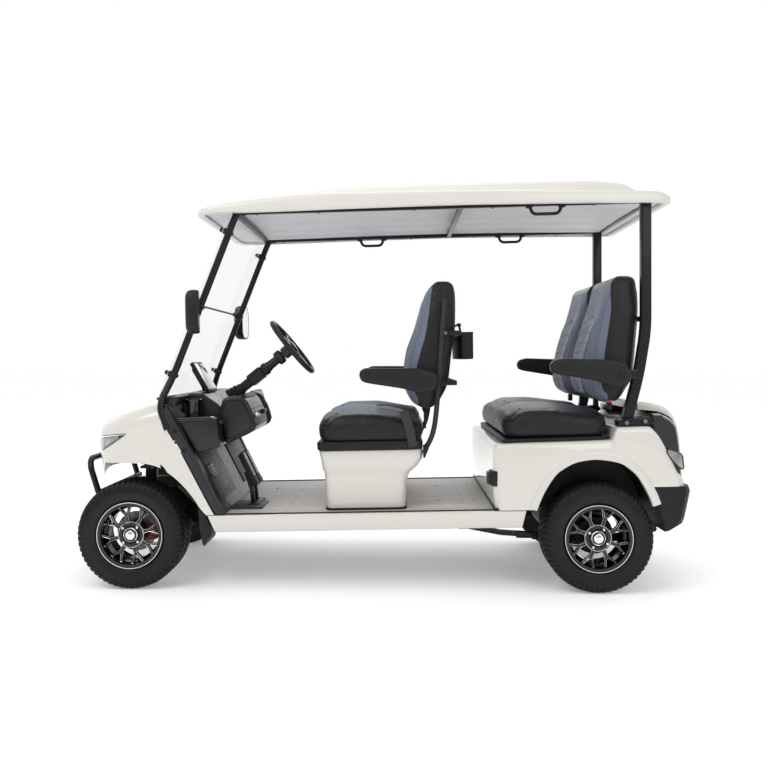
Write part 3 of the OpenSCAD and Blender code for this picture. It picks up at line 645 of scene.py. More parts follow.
def mix_finishes(look):
    """All finishes, from the colours in the settings."""
    f = {}
    white = tuple(look.body_colour)
    f["paint"] = moulded("gloss_white_paint", white, 0.2, 0.7, 1200, 0.03, 0.985)
    f["roof"] = moulded("cream_roof_moulding", darker(white, 0.97), 0.34, 0.25, 700, 0.12, 0.97)
    f["liner"] = moulded("roof_underside", (0.6, 0.61, 0.63), 0.5, 0.0, 300, 0.3, 0.93)
    f["black"] = moulded("textured_black_moulding", (0.008, 0.008, 0.009), 0.5, 0.0, 520, 0.35, 0.8)
    f["grey"] = moulded("dark_grey_moulding", (0.026, 0.026, 0.03), 0.46, 0.0, 520, 0.3, 0.82)
    f["dash"] = moulded("dash_moulding", (0.014, 0.014, 0.017), 0.34, 0.15, 640, 0.22, 0.85)
    f["gloss_black"] = moulded("gloss_black_moulding", (0.004, 0.004, 0.005), 0.12, 0.6, 900, 0.03, 0.9)
    f["coated"] = moulded("black_powder_coat", (0.008, 0.008, 0.009), 0.36, 0.1, 1500, 0.12, 0.85, 0.25)
    f["steel"] = moulded("worn_steel", (0.24, 0.24, 0.25), 0.4, 0.0, 800, 0.1, 0.7, 0.9)
    f["cast"] = moulded("cast_grey", (0.035, 0.035, 0.038), 0.55, 0.0, 260, 0.5, 0.7, 0.7)
    f["silver"] = moulded("machined_silver", (0.78, 0.78, 0.8), 0.2, 0.1, 1400, 0.05, 0.9, 1.0)
    f["rim"] = moulded("gloss_black_rim", (0.004, 0.004, 0.005), 0.16, 0.35, 1200, 0.03, 0.9, 0.0)
    f["cloudy"] = moulded("lamp_reflector", (0.34, 0.35, 0.37), 0.22, 0.9, 500, 0.1, 0.5, 0.35, 30)
    f["mirror"] = moulded("mirror_glass", (0.86, 0.88, 0.9), 0.04, 0.0, 900, 0.0, 0.98, 1.0)
    f["red"] = moulded("red_plastic", (0.55, 0.02, 0.015), 0.35, 0.3, 700, 0.1, 0.9)
    f["red_paint"] = moulded("red_caliper", (0.42, 0.02, 0.02), 0.3, 0.5, 700, 0.1, 0.85)
    f["amber"] = lens_finish("amber_lens", (0.75, 0.28, 0.03))
    f["vinyl"] = vinyl("black_vinyl", (0.009, 0.009, 0.0105), 0.46)
    f["navy"] = vinyl("navy_vinyl", tuple(look.band_colour), 0.42, 760)
    f["slate"] = woven("slate_blue_cloth", tuple(look.inset_colour), darker(tuple(look.inset_colour), 0.72),
            1.6, 0.7)
    f["thread"] = woven("dark_thread", (0.05, 0.055, 0.07), (0.02, 0.02, 0.03), 0.8, 0.8)
    f["web"] = woven("belt_webbing", (0.012, 0.012, 0.014), (0.03, 0.03, 0.034), 1.4, 0.7)
    f["rubber"] = moulded("tyre_rubber", (0.006, 0.006, 0.007), 0.62, 0.0, 420, 0.35, 0.75, 0.0, 14)
    f["rubber_side"] = moulded("sidewall_rubber", (0.005, 0.005, 0.006), 0.4, 0.0, 700, 0.15, 0.8)
    f["floor"] = plank_mat("grey_board_mat", tuple(look.floor_colour), (0.12, 0.11, 0.11))
    f["ribs"] = ribbed("ribbed_black_plate", (0.03, 0.03, 0.032), 9, "X")
    f["pedal"] = ribbed("ribbed_pedal", (0.2, 0.2, 0.21), 7, "Z", 0.35, 1.0, 0.5)
    f["glass"] = clear_finish("clear_windshield", (0.86, 0.92, 0.93), 0.02, 0.1)
    f["lens"] = clear_finish("clear_lamp_lens", (0.9, 0.94, 0.97), 0.02, 0.22)
    f["lamp"] = lens_finish("lamp_strip", (0.95, 0.97, 1.0), 1.0, 0.6)
    f["tail"] = lens_finish("red_tail_lens", (0.5, 0.012, 0.012), 1.0, 0.05)
    f["screen"] = moulded("screen_glass", (0.3, 0.32, 0.33), 0.1, 0.9, 900, 0.0, 0.96)
    return f


# ---------------------------------------------------------------- shared shapes
def domed(name, rows, skirt, open_back=False, close_bottom=False):
    """A top grid whose edge turns down in rings: skirt(i, point, outward) gives one edge column's points."""
    r, c = len(rows), len(rows[0])
    if open_back:
        loop = [(i, 0) for i in range(r - 1, 0, -1)] + [(0, j) for j in range(c)] + [(i,
                c - 1) for i in range(1, r)]
    else:
        loop = ([(0, j) for j in range(c)] + [(i, c - 1) for i in range(1, r)]
                + [(r - 1, j) for j in range(c - 2, -1, -1)] + [(i, 0) for i in range(r - 2, 0, -1)])
    verts = [p for row in rows for p in row]
    faces = sheet_faces(r, c)
    edge = [rows[i][j] for i, j in loop]
    n = len(edge)
    middle = sum(edge, Vector()) / n
    columns = []
    for k in range(n):
        a = edge[k - 1] if (k > 0 or not open_back) else edge[k]
        b = edge[(k + 1) % n] if (k < n - 1 or not open_back) else edge[k]
        along = (b - a)
        out = Vector((along.y, -along.x, 0)).normalized()
        if out.dot(edge[k] - middle) < 0:
            out = -out
        columns.append(skirt(k, edge[k], out))
    depth = len(columns[0])
    start = len(verts)
    for col in columns:
        verts.extend(col)
    ids = [[i * c + j] + [start + k * depth + d for d in range(depth)] for k, (i, j) in enumerate(loop)]
    for k in range(n if not open_back else n - 1):
        a, b = ids[k], ids[(k + 1) % n]
        for d in range(depth):
            faces.append((a[d], b[d], b[d + 1], a[d + 1]))
    if close_bottom:
        faces.append(tuple(col[-1] for col in ids))
    return make_object(name, verts, faces)


def ring_plan(x0, x1, y0, y1, radius, steps=6):
    """Rounded rectangle in plan, anticlockwise, as (x, y) stations."""
    out = []
    for cx, cy, a in ((x1 - radius, y1 - radius, 0), (x0 + radius, y1 - radius, 90),
            (x0 + radius, y0 + radius, 180), (x1 - radius, y0 + radius, 270)):
        for k in range(steps + 1):
            q = math.radians(a + 90 * k / steps)
            out.append((cx + radius * math.cos(q), cy + radius * math.sin(q)))
    return out


def box_piece(name, lo, hi, bevel=3.0, segments=2, level=True):
    """A rounded block between two stations."""
    return prism(name, [(lo[1], lo[2]), (hi[1], lo[2]), (hi[1], hi[2]), (lo[1], hi[2])], lo[0], hi[0], bevel,
            segments, level)


def screw(name, centre, axis, radius=8.0, proud=4.0):
    """A domed button screw with a six-sided recess; centre in metres, axis the way its head looks."""
    axis = Vector(axis).normalized()
    a = axis.orthogonal().normalized()
    b = axis.cross(a)
    rings = []
    for r, h in ((0.98, -0.6), (1.0, 0.1), (0.92, 0.55), (0.7, 0.88), (0.5, 1.0)):
        rings.append([centre + (a * math.cos(q) + b * math.sin(q)) * radius * r * 0.001 + axis * proud * h * 0.001
                      for q in [2 * math.pi * k / 24 for k in range(24)]])
    for r, h in ((0.42, 0.98), (0.4, 0.45)):
        hexed = []
        for k in range(24):
            q = 2 * math.pi * k / 24
            wide = math.cos(math.pi / 6) / math.cos((q % (math.pi / 3)) - math.pi / 6)
            hexed.append(centre + (a * math.cos(q) + b * math.sin(q)) * radius * r * wide * 0.001 + axis * proud * h * 0.001)
        rings.append(hexed)
    return loft(name, rings)


def screws(name, finish, places, axis, radius=8.0, proud=4.0):
    group = [paint(screw(f"{name}_{i}", p, axis, radius, proud), finish) for i, p in enumerate(places)]
    return merge(name, group)


def both_sides(name, obj, body, slot, **more):
    """Hangs the piece and its mirror image on the same body."""
    twin = mirrored(obj, name + "_right")
    obj.name = name + "_left"
    for p in (obj, twin):
        settle(p, body, slot, **more)
    return obj, twin


def stitches(name, path, finish, radius=0.9, length=5.0, gap=3.0):
    """A run of short thread stitches along a path in metres."""
    total = sum((path[i + 1] - path[i]).length for i in range(len(path) - 1))
    count = max(2, int(total * 1000 / (length + gap)))
    group_v, group_f = [], []
    marks, run, i = [], 0.0, 0
    for k in range(count):
        for end in (0.0, length):
            want = (k * (length + gap) + end) * 0.001
            while i < len(path) - 2 and run + (path[i + 1] - path[i]).length < want:
                run += (path[i + 1] - path[i]).length
                i += 1
            seg = path[i + 1] - path[i]
            marks.append(path[i] + seg.normalized() * min(want - run, seg.length) if seg.length else path[i])
    for k in range(count):
        a, b = marks[2 * k], marks[2 * k + 1]
        t = b - a
        if t.length < 0.0008:
            continue
        t.normalize()
        s = t.orthogonal().normalized()
        u = t.cross(s)
        base = len(group_v)
        for p, r in ((a, 0.35), (a.lerp(b, 0.25), 1.0), (a.lerp(b, 0.75), 1.0), (b, 0.35)):
            for q in range(6):
                w = q * math.pi / 3
                group_v.append(p + (s * math.cos(w) + u * math.sin(w)) * radius * r * 0.001)
        for ring in range(3):
            for q in range(6):
                group_f.append((base + ring * 6 + q, base + ring * 6 + (q + 1) % 6,
                        base + ring * 6 + 6 + (q + 1) % 6, base + ring * 6 + 6 + q))
        group_f.append(tuple(base + q for q in range(6)))
        group_f.append(tuple(base + 18 + q for q in range(6)))
    return paint(make_object(name, group_v, group_f), finish)


# ---------------------------------------------------------------- front cowl
COWL_PLAN = [(0, -1494), (120, -1488), (250, -1464), (350, -1435), (440, -1400), (515, -1355), (562, -1288),
        (588, -1200), (597, -1120), (600, -1050)]
ARCH_EDGE = [(-1372, 640), (-1350, 650), (-1250, 652), (-1150, 651), (-1090, 641), (-1030, 615), (-975, 572),
        (-925, 520), (-885, 468), (-858, 425), (-826, 388)]
PLATE_EDGE = [(946, -1052), (848, -1030), (704, -951), (490, -842), (388, -789)]


def cowl_line():
    pts = spline([Vector((x, y, 0)) for x, y in COWL_PLAN], 10)
    length = [0.0]
    for i in range(1, len(pts)):
        length.append(length[-1] + (pts[i] - pts[i - 1]).length)

    def place(s):
        want = clamp(s) * length[-1]
        i = max(j for j in range(len(length)) if length[j] <= want + 1e-9)
        i = min(i, len(pts) - 2)
        t = (want - length[i]) / (length[i + 1] - length[i])
        p = pts[i].lerp(pts[i + 1], t)
        d = (pts[min(i + 2, len(pts) - 1)] - pts[max(i - 1, 0)]).normalized()
        return p, Vector((d.y, -d.x, 0))

    return place


COWL_AT = cowl_line()
HOOD_MID = curve_through([(-1510, 800), (-1490, 822), (-1423, 858), (-1319, 893), (-1216, 925), (-1140, 950),
        (-1060, 974)])
HOOD_EDGE = curve_through([(-1510, 792), (-1440, 806), (-1374, 824), (-1308, 848), (-1235, 890), (-1144, 917),
        (-1050, 940)])
CREASE = curve_through([(-1510, 788), (-1440, 792), (-1374, 798), (-1300, 812), (-1200, 836), (-1050, 868)])


def cowl_wall_point(s, z, proud=0.0):
    """A station on the cowl wall: s runs from the middle of the nose round to the side."""
    p, out = COWL_AT(s)
    tuck = 0.0
    front = clamp((-p.y - 1350) / 110)
    if z < 690:
        tuck += front * 26 * ((690 - z) / 105) ** 1.4
    tuck += front * 5 * ((z - 740) / 60) ** 2 if z > 740 else 0
    q = p - out * (tuck - proud)
    return q.x, q.y, z


def make_cowl(f):
    n_front, n_side = 16, 24
    split = 0.47
    svals = [split * i / n_front for i in range(n_front)]
    svals += [split + (1 - split) * i / n_side for i in range(n_side + 1)]
    edge = []
    for s in svals:
        p, out = COWL_AT(s)
        inset = 62 if s <= split else lerp(62, 58, (s - split) / (1 - split))
        q = p - out * inset
        edge.append((max(q.x, 0.0) if s > 0 else 0.0, q.y))
    corner_x = edge[n_front][0]
    rows = []
    for i in range(n_side + 1):
        ex, ey = edge[n_front + i]
        mid_y = lerp(edge[0][1], -1056, (i / n_side) ** 0.9)
        row = []
        for j in range(-n_front, n_front + 1):
            k = abs(j) / n_front
            if i == 0:
                x, y = edge[abs(j)]
            else:
                frac = edge[abs(j)][0] / corner_x
                x = ex * frac
                y = lerp(mid_y, ey, frac**2)
            top = lerp(HOOD_MID(y), HOOD_EDGE(y) , ease(x, 120, 640) )
            row.append(at(math.copysign(x, j) if j else 0.0, y, top))
        rows.append(row)
    ends = [s for s in reversed(svals[n_front + 1:])] + [s for s in reversed(svals[1:n_front + 1])] + svals
    signs = [-1] * (n_side + n_front) + [1] * (n_front + n_side + 1)
    arch = curve_through([(y, z) for y, z in ARCH_EDGE])
    steps = 12

    def skirt(k, point, out):
        s, sign = ends[k], signs[k]
        p, normal = COWL_AT(s)
        top = point.z * 1000
        crease = CREASE(p.y)
        col = []
        for inset, t in ((40, 0.1), (22, 0.32), (9, 0.62)):
            q = p - normal * inset
            col.append(at(sign * q.x, q.y, lerp(top, crease, t)))
        low = 585 if p.y < -1365 else arch(p.y)
        if -1380 < p.y <= -1345:
            low = lerp(585, 651, ease(p.y, -1372, -1356))
        for m in range(steps):
            z = lerp(crease, low, m / (steps - 1))
            x, y, z = cowl_wall_point(s, z, 1.5 if m == 0 else 0.0)
            col.append(at(sign * x, y, z))
        return col

    top = domed("cowl_shell", rows, skirt, open_back=True)
    tails = []
    for sign in (-1, 1):
        grid = []
        plate = curve_through(sorted(PLATE_EDGE))
        front_y = curve_through(sorted((z, y) for y, z in ARCH_EDGE if y > -1060))
        zs = [940, 933, 917, 893, 868, 840, 800, 760, 720, 680,
                648] + [648 - (648 - 390) * k / 12 for k in range(1, 13)]
        for z in zs:
            y0 = -1050 if z >= 640 else front_y(z)
            y1 = plate(z) if z < 946 else -1051
            d = {940: 58, 933: 40, 917: 22, 893: 9}.get(z, 0)
            grid.append([at(sign * (600 - d), lerp(y0, max(y1, y0 + 1), t / 6), z) for t in range(7)])
        tails.append(sheet_object(f"cowl_tail_{sign}", grid, at(0, -1000, 600)))
    shell = merge("cowl_shell", [top] + tails)
    bm = bmesh.new()
    bm.from_mesh(shell.data)
    bmesh.ops.remove_doubles(bm, verts=bm.verts, dist=0.0012)
    bmesh.ops.recalc_face_normals(bm, faces=bm.faces)
    bm.to_mesh(shell.data)
    bm.free()
    up = [p for p in shell.data.polygons if p.center.z > 0.87 and abs(p.center.x) < 0.1]
    if up and sum(p.normal.z for p in up) < 0:
        shell.data.flip_normals()
    thicken(shell, 4.0)
    paint(shell, f["paint"])
    settle(shell, "cart", "front_cowl", replaces=("front_cowl",), angle=42)


def lamp_patch(name, low, high, s0, s1, proud, count=40, rise=10):
    """A patch that follows the cowl wall between two height curves of s."""
    rows = []
    for i in range(count + 1):
        s = lerp(s0, s1, i / count)
        a, b = low(s), high(s)
        rows.append([at(*cowl_wall_point(s, lerp(a, b, k / rise), proud)) for k in range(rise + 1)])
    return sheet_object(name, rows, at(0, -1200, 750))


def make_headlights(f):
    low = curve_through([(0.5, 726), (0.54, 708), (0.58, 706), (0.64, 722), (0.70, 745), (0.76, 774),
            (0.80, 795)])
    high = curve_through([(0.5, 768), (0.56, 782), (0.64, 788), (0.70, 792), (0.76, 797), (0.80, 798)])
    bezel = thicken(lamp_patch("headlight_bezel", low, high, 0.5, 0.80, 2.2), 7.0)
    shine = thicken(lamp_patch("headlight_reflector", lambda s: low(s) + 6,
            lambda s: high(s) - 12 * clamp((0.80 - s) / 0.1), 0.51, 0.75, 3.4, 34, 6), 3.0)
    both_sides("headlight_reflector", paint(shine, f["cloudy"]), "cart", "headlights", angle=50)
    round_edges(bezel, 1.6, 2, 50)
    paint(bezel, f["gloss_black"])
    both_sides("headlight_bezel", bezel, "cart", "headlights", angle=50, replaces=("headlights",))
    upper = thicken(lamp_patch("headlight_strip", lambda s: high(s) - lerp(11, 5, clamp((s - 0.55) / 0.25)),
            lambda s: high(s) - 4, 0.55, 0.8, 4.0, 34, 3), 3.0)
    paint(upper, f["lamp"])
    both_sides("headlight_strip", upper, "cart", "headlights", angle=50)
    for i, (s0, s1) in enumerate(((0.575, 0.63), (0.648, 0.695))):
        inner = lamp_patch(f"headlight_unit_{i}", lambda s: low(s) + 16, lambda s: high(s) - 20, s0, s1, 4.4,
                10, 6)
        thicken(inner, 4.0)
        round_edges(inner, 2.0, 2, 50)
        paint(inner, f["lens"], f["silver"])
        core = lamp_patch(f"headlight_core_{i}", lambda s: low(s) + 22, lambda s: high(s) - 26, s0 + 0.008,
                s1 - 0.008, 3.2, 8, 4)
        thicken(core, 2.0)
        paint(core, f["silver"])
        both = merge(f"headlight_unit_{i}", [inner, core])
        both_sides(f"headlight_unit_{i}", both, "cart", "headlights", angle=50)


def make_front_details(f):
    # dark plates behind each strut, with a raised rim and two plugs
    plate = [(-1045, 908), (-1026, 848), (-948, 704), (-839, 490), (-785, 390), (-736, 390), (-794, 490),
            (-878, 676), (-975, 850), (-1016, 925)]
    body = prism("trim_plate", plate, 556, 597, 7, 4)
    inner = [(-1030, 893), (-1012, 852), (-934, 706), (-826, 494), (-779, 402), (-756, 402), (-808, 494),
            (-892, 676), (-986, 844), (-1014, 898)]
    rib = prism("trim_plate_panel", inner, 594, 599.5, 2, 2)
    plugs = [turned("plug", [(-2, 0), (-2, 14), (1.5, 14), (2.5, 12.5), (1.6, 10.5), (1.6, 9.5), (3.2, 8),
            (3.6, 0)], 28, (598, 0, 0)) for _ in range(2)]
    for p, (y, z) in zip(plugs, ((-976, 805), (-930, 712))):
        p.data.transform(Matrix.Translation(at(0, y, z)))
    for o in (body, rib):
        paint(o, f["grey"])
    for p in plugs:
        paint(p, f["black"])
    piece = merge("trim_plate", [body, rib] + plugs)
    both_sides("trim_plate", piece, "cart", "body_trim", replaces=("body_trim",))
    # flap behind each front wheel
    rows = []
    for z, y0, y1 in ((433, -872, -846), (400, -868, -838), (360, -866, -822), (318, -864, -806),
            (290, -858, -808), (262, -853, -830), (243, -850, -842)):
        rows.append((z, y0, y1))
    rings = [[at(410, y0, z), at(596, y0, z), at(598, lerp(y0, y1, 0.5), z), at(596, y1, z), at(410, y1, z),
            at(408, lerp(y0, y1, 0.5), z)] for z, y0, y1 in rows]
    flap = paint(round_edges(loft("front_flap", rings), 3, 2), f["black"])
    both_sides("front_flap", flap, "cart", "body_trim")
    # arch liner
    prof = []
    for k in range(31):
        a = math.radians(lerp(-8, 108, k / 30))
        prof.append((-1210 + 366 * math.cos(a), 287 + 366 * math.sin(a)))
    limit = curve_through(sorted((y, x) for x, y in COWL_PLAN))
    rows = [[at(lerp(332, min(592, limit(y) - 14), u), y, z) for y, z in prof] for u in (0, 0.25, 0.5, 0.75,
            1)]
    liner = sheet_object("front_arch_liner", rows, at(460, -1214, 268))
    liner.data.flip_normals()
    thicken(liner, 3.0)
    paint(liner, f["black"])
    both_sides("front_arch_liner", liner, "cart", "body_trim")
    # lower nose grille with slats, and a charge socket on the rear body
    back = lamp_patch("nose_grille_back", lambda s: 612, lambda s: 668, 0.02, 0.36, 0.8, 24, 3)
    thicken(back, 3.0)
    paint(back, f["black"])
    slats = [back]
    for i in range(4):
        slat = thicken(lamp_patch(f"slat_{i}", lambda s, i=i: 616 + i * 13.5, lambda s, i=i: 621 + i * 13.5,
                0.02, 0.355, 3.2, 24, 1), 4.0)
        slats.append(paint(slat, f["grey"]))
    grille = merge("nose_grille", slats)
    both_sides("nose_grille", grille, "cart", "body_trim")
    socket = prism("charge_socket", [(570, 508), (602, 504), (607, 580), (570, 580)], 501, 590, 6, 3)
    lid = prism("charge_lid", [(556, 514), (576, 512), (578, 573), (556, 573)], 512, 578, 5, 3)
    paint(socket, f["black"])
    paint(lid, f["grey"])
    settle(merge("charge_socket", [socket, lid]), "cart", "body_trim")


def make_sills_and_floor(f):
    side = [(560, 386), (596, 387), (600, 381), (600, 318), (596, 308), (588, 304), (560, 304)]
    ys = [(-823, -785), (-780, -770), (-400, -400), (0, 0), (400, 400), (720, 712), (738, 716)]
    rings = []
    for top_y, low_y in ys:
        rings.append([at(x, lerp(low_y, top_y, (z - 304) / 83), z) for x, z in side])
    sill = loft("side_sill", rings)
    round_edges(sill, 3, 3)
    paint(sill, f["paint"])
    both_sides("side_sill", sill, "cart", "side_sills", replaces=("side_sills",))
    lip = box_piece("floor_edge_strip", (548, -796, 384), (566, 600, 390), 2, 2)
    paint(lip, f["black"])
    both_sides("floor_edge_strip", lip, "cart", "floor_deck")
    finish_node("floor_deck", f["floor"])
    studs = []
    for x in (-250, 250):
        for y in (-600, 330, 520):
            studs.append(at(x, y, 385.5))
    heads = screws("floor_screws", f["steel"], studs, (0, 0, 1), 7, 2.2)
    settle(heads, "cart", "floor_deck")


def finish_node(node, finish):
    """Gives a CAD node that stays visible its material."""
    obj = NODES[node]
    if not obj.material_slots:
        obj.data.materials.append(finish)
    for s in obj.material_slots:
        s.material = finish


# ---------------------------------------------------------------- roof and its frame
ROOF_HALF = curve_through([(-862, 250), (-854, 400), (-846, 500), (-822, 565), (-790, 584), (-740, 592),
        (-600, 592), (1300, 592), (1400, 590), (1450, 576), (1474, 530), (1484, 420)])
ROOF_LOW = curve_through([(-862, 1876), (-763, 1878), (-485, 1880), (-44, 1885), (451, 1887), (776, 1883),
        (1291, 1873), (1484, 1867)])
ROOF_UP = curve_through([(-862, 1896), (-840, 1906), (-790, 1921), (-677, 1938), (-484, 1958), (-305, 1972),
        (400, 1967), (1000, 1950), (1300, 1939), (1420, 1931), (1466, 1908), (1484, 1884)])
CROWN = curve_through([(-560, 0), (-400, 16), (-200, 48), (-55, 62), (400, 68), (1000, 82), (1101, 82),
        (1285, 68), (1360, 34), (1405, 4), (1440, 0)])


def roof_top(x, y):
    side = 1 - ease(abs(x), 372, 448)
    channel = 0
    for c in (-170, 170):
        channel += 5.5 * (1 - ease(abs(x - c), 10, 34)) * ease(y, -250, -60) * (1 - ease(y, 1120, 1260))
    return ROOF_UP(y) + CROWN(y) * side - channel * side - 10 * ease(abs(x), 480, 592)


def make_roof(f):
    ys = [-845, -840, -832, -822, -808] + [lerp(-790, 1405, k / 86) for k in range(87)] + [1424, 1440, 1452,
            1460, 1466]
    rows = []
    for y in ys:
        w = max(ROOF_HALF(y) - 17, 60)
        rows.append([at(x, y, roof_top(x, y)) for x in [w * j / 36 for j in range(-36, 37)]])

    def skirt(k, p, out):
        y = p.y * 1000 - SHIFT
        top, low = p.z * 1000, ROOF_LOW(y)
        o = out * 0.001
        col = [(7, 0.03), (13, 0.12), (16.5, 0.28), (17, 0.5), (17, 0.75), (16, 0.92), (12, 1.0), (2, 1.02),
                (-12, 1.02), (-17, 0.9), (-19, 0.7)]
        return [Vector((p.x, p.y, 0)) + o * d + Vector((0, 0, lerp(top, low, t) * 0.001)) for d, t in col]

    roof = domed("roof_shell", rows, skirt)
    paint(roof, f["roof"])
    settle(roof, "cart", "roof_panel", replaces=("roof_panel",), angle=40)
    # underside with a shallow raised border
    rows = []
    for y in [lerp(-836, 1456, k / 70) for k in range(71)]:
        w = max(ROOF_HALF(y) - 26, 80)
        inside = ease(y, -800, -560) * (1 - ease(y, 1240, 1420))
        lift = [18 * (1 - ease(abs(t), 0.74, 0.8)) + 14 * (1 - ease(abs(t), 0.5,
                0.58)) + 8 * (1 - ease(abs(t), 0.2, 0.28)) for t in [j / 36 for j in range(-36, 37)]]
        rows.append([at(w * (k - 36) / 36, y, ROOF_LOW(y) + 14 + lift[k] * inside) for k in range(73)])
    liner = sheet_object("roof_liner", rows, at(0, 300, 2300))
    thicken(liner, 3.0)
    paint(liner, f["liner"])
    settle(liner, "cart", "roof_panel", angle=60)
    lamp = turned("roof_lamp", [(0, 0), (0, 38), (6, 38), (12, 30), (15, 16), (16, 0)], 40)
    lamp.data.transform(Matrix.Translation(at(-120, 470, 1899)) @ Matrix.Rotation(math.radians(90), 4, "Y"))
    paint(lamp, f["lens"])
    settle(lamp, "cart", "roof_panel")


def handle(name, x, y0, y1, f):
    path = rounded([at(x, y0, 1884), at(x, y0 + 14, 1850), at(x, y0 + 30, 1842), at(x, y1 - 30, 1842),
            at(x, y1 - 14, 1850), at(x, y1, 1884)], 0.02, 5)
    bar = paint(tube(name, path, 8.2, 20), f["coated"])
    feet = []
    for y in (y0, y1):
        feet.append(paint(box_piece(name + "_foot", (x - 13, y - 17, 1872), (x + 13, y + 17, 1886), 4, 3),
                f["black"]))
    return merge(name, [bar] + feet)


def make_roof_frame(f):
    parts = []
    for x in (-500, 500):
        parts.append(box_piece("rail", (x - 13, -684, 1880), (x + 13, 1404, 1906), 3.5, 3))
    for y in (-684, 450, 1379):
        parts.append(box_piece("bar", (-489, y, 1880.5), (489, y + 26, 1905.5), 3.5, 3))
    frame_piece = merge("roof_rails", parts)
    paint(frame_piece, f["coated"])
    settle(frame_piece, "cart", "roof_frame", replaces=("roof_frame",))
    for name, x, y0, y1 in (("grab_handle_front_right", -500, -87, 61),
            ("grab_handle_rear_right", -500, 766, 913), ("grab_handle_rear_left", 500, 800, 962)):
        settle(handle(name, x, y0, y1, f), "cart", "grab_handles", replaces=("grab_handles",))
    heads = []
    for x in (-500, 500):
        for y in (-560, -250, 230, 620, 1120):
            heads.append(at(x, y, 1879))
    settle(screws("rail_screws", f["steel"], heads, (0, 0, -1), 7, 4), "cart", "roof_frame")


STRUT_LOW, STRUT_KNEE, STRUT_TOP = Vector((-1015, 815)), Vector((-1053, 944)), Vector((-661.6, 1884))
STRUT_DIR = (STRUT_TOP - STRUT_KNEE).normalized()
STRUT_OUT = Vector((-STRUT_DIR.y, STRUT_DIR.x))
STRUT_LEN = (STRUT_TOP - STRUT_KNEE).length


def on_strut(t, off):
    return STRUT_KNEE + STRUT_DIR * t + STRUT_OUT * off


def make_struts(f):
    path = rounded([at(590, *STRUT_LOW), at(588, *(STRUT_KNEE + Vector((6, -30)))), at(572, *on_strut(26, 0)),
            at(517, *on_strut(150, 0)), at(517, *on_strut(STRUT_LEN * 0.965, 0)),
            at(514, *(STRUT_TOP + Vector((8, 8)))), at(505, STRUT_TOP.x + 46, STRUT_TOP.y + 7)], 0.09, 8)
    bar = paint(tube("windshield_strut", path, 17.5, 28), f["coated"])
    group = [bar]
    for t in (150, STRUT_LEN * 0.51, STRUT_LEN * 0.9):
        a, b, c, d = on_strut(t - 15, 10), on_strut(t + 15, 10), on_strut(t + 15, 25.8), on_strut(t - 15,
                25.8)
        group.append(paint(prism("clamp", [a, b, c, d], 498, 536, 4, 3), f["black"]))
        knob = on_strut(t, 38)
        group.append(paint(screw("clamp_knob", at(517, *knob), (0, STRUT_OUT.x, STRUT_OUT.y), 12, 10),
                f["black"]))
        ring = prism("clamp_band", [on_strut(t - 11, -21), on_strut(t + 11, -21), on_strut(t + 11, 21),
                on_strut(t - 11, 21)], 496, 538, 8, 3)
        group.append(paint(ring, f["black"]))
    hinge = on_strut(STRUT_LEN * 0.475, 0)
    arm = tube("mirror_arm", [at(517, *hinge), at(545, *hinge), at(572, hinge.x + 4, hinge.y)], [11, 9, 9],
            18)
    group.append(paint(arm, f["black"]))
    piece = merge("windshield_strut", group)
    both_sides("windshield_strut", piece, "cart", "windshield_struts", replaces=("windshield_struts",))


def pane(name, t0, t1, f, radius=34):
    plan = ring_plan(-535, 535, t0, t1, radius, 8)
    faces_out = []
    for off in (26.4, 31.0):
        faces_out.append([at(x, *on_strut(t, off)) for x, t in plan])
    obj = loft(name, faces_out)
    paint(obj, f["glass"], f["lens"])
    for poly in obj.data.polygons:
        poly.material_index = 0 if len(poly.vertices) > 8 else 1
    return obj


def make_windshield(f):
    split = STRUT_LEN * 0.51
    for name, t0, t1 in (("windshield_lower", 14, split - 4),
            ("windshield_upper", split + 4, STRUT_LEN - 30)):
        settle(pane(name, t0, t1, f), "cart", "windshield_panes", replaces=("windshield_panes",), angle=30)
    # black seal strip between the panes and along the foot
    strips = []
    for t, r in ((split, 5.5), (12, 6.5)):
        p = on_strut(t, 28.7)
        strips.append(paint(tube("seal", [at(-533, *p), at(533, *p)], r, 12), f["black"]))
    settle(merge("windshield_seals", strips), "cart", "windshield_panes")


def make_mirrors(f):
    hinge = on_strut(STRUT_LEN * 0.475, 0)
    cy, cz = hinge.x, hinge.y
    def outline(grow, n=44):
        pts = []
        for k in range(n):
            q = 2 * math.pi * k / n
            c, s = math.cos(q), math.sin(q)
            px = math.copysign(abs(c) ** 0.62, c) * (61 + grow)
            pz = math.copysign(abs(s) ** 0.72, s) * (108 + grow)
            pts.append((628 + px * (1 - 0.06 * s), cz + pz))
        return pts
    rings = []
    for y, grow in ((-33, -40), (-31, -24), (-24, -10), (-12, -2), (4, 0), (22, -1), (31, -3), (33, -7),
            (29, -9)):
        rings.append([at(x, cy + y, z) for x, z in outline(grow)])
    shell = paint(loft("mirror", rings), f["black"])
    face = loft("mirror_glass", [[at(x, cy + 27.5, z) for x, z in outline(-10)],
            [at(x, cy + 31.5, z) for x, z in outline(-10.5)]])
    paint(face, f["mirror"])
    piece = merge("mirror", [shell, face])
    # each glass is turned a little toward the driver's side of the cart
    pivot = Matrix.Translation(at(628, cy, cz))
    piece.data.transform(pivot @ Matrix.Rotation(math.radians(11), 4, "Z") @ pivot.inverted())
    both_sides("mirror", piece, "cart", "mirrors", replaces=("mirrors",))


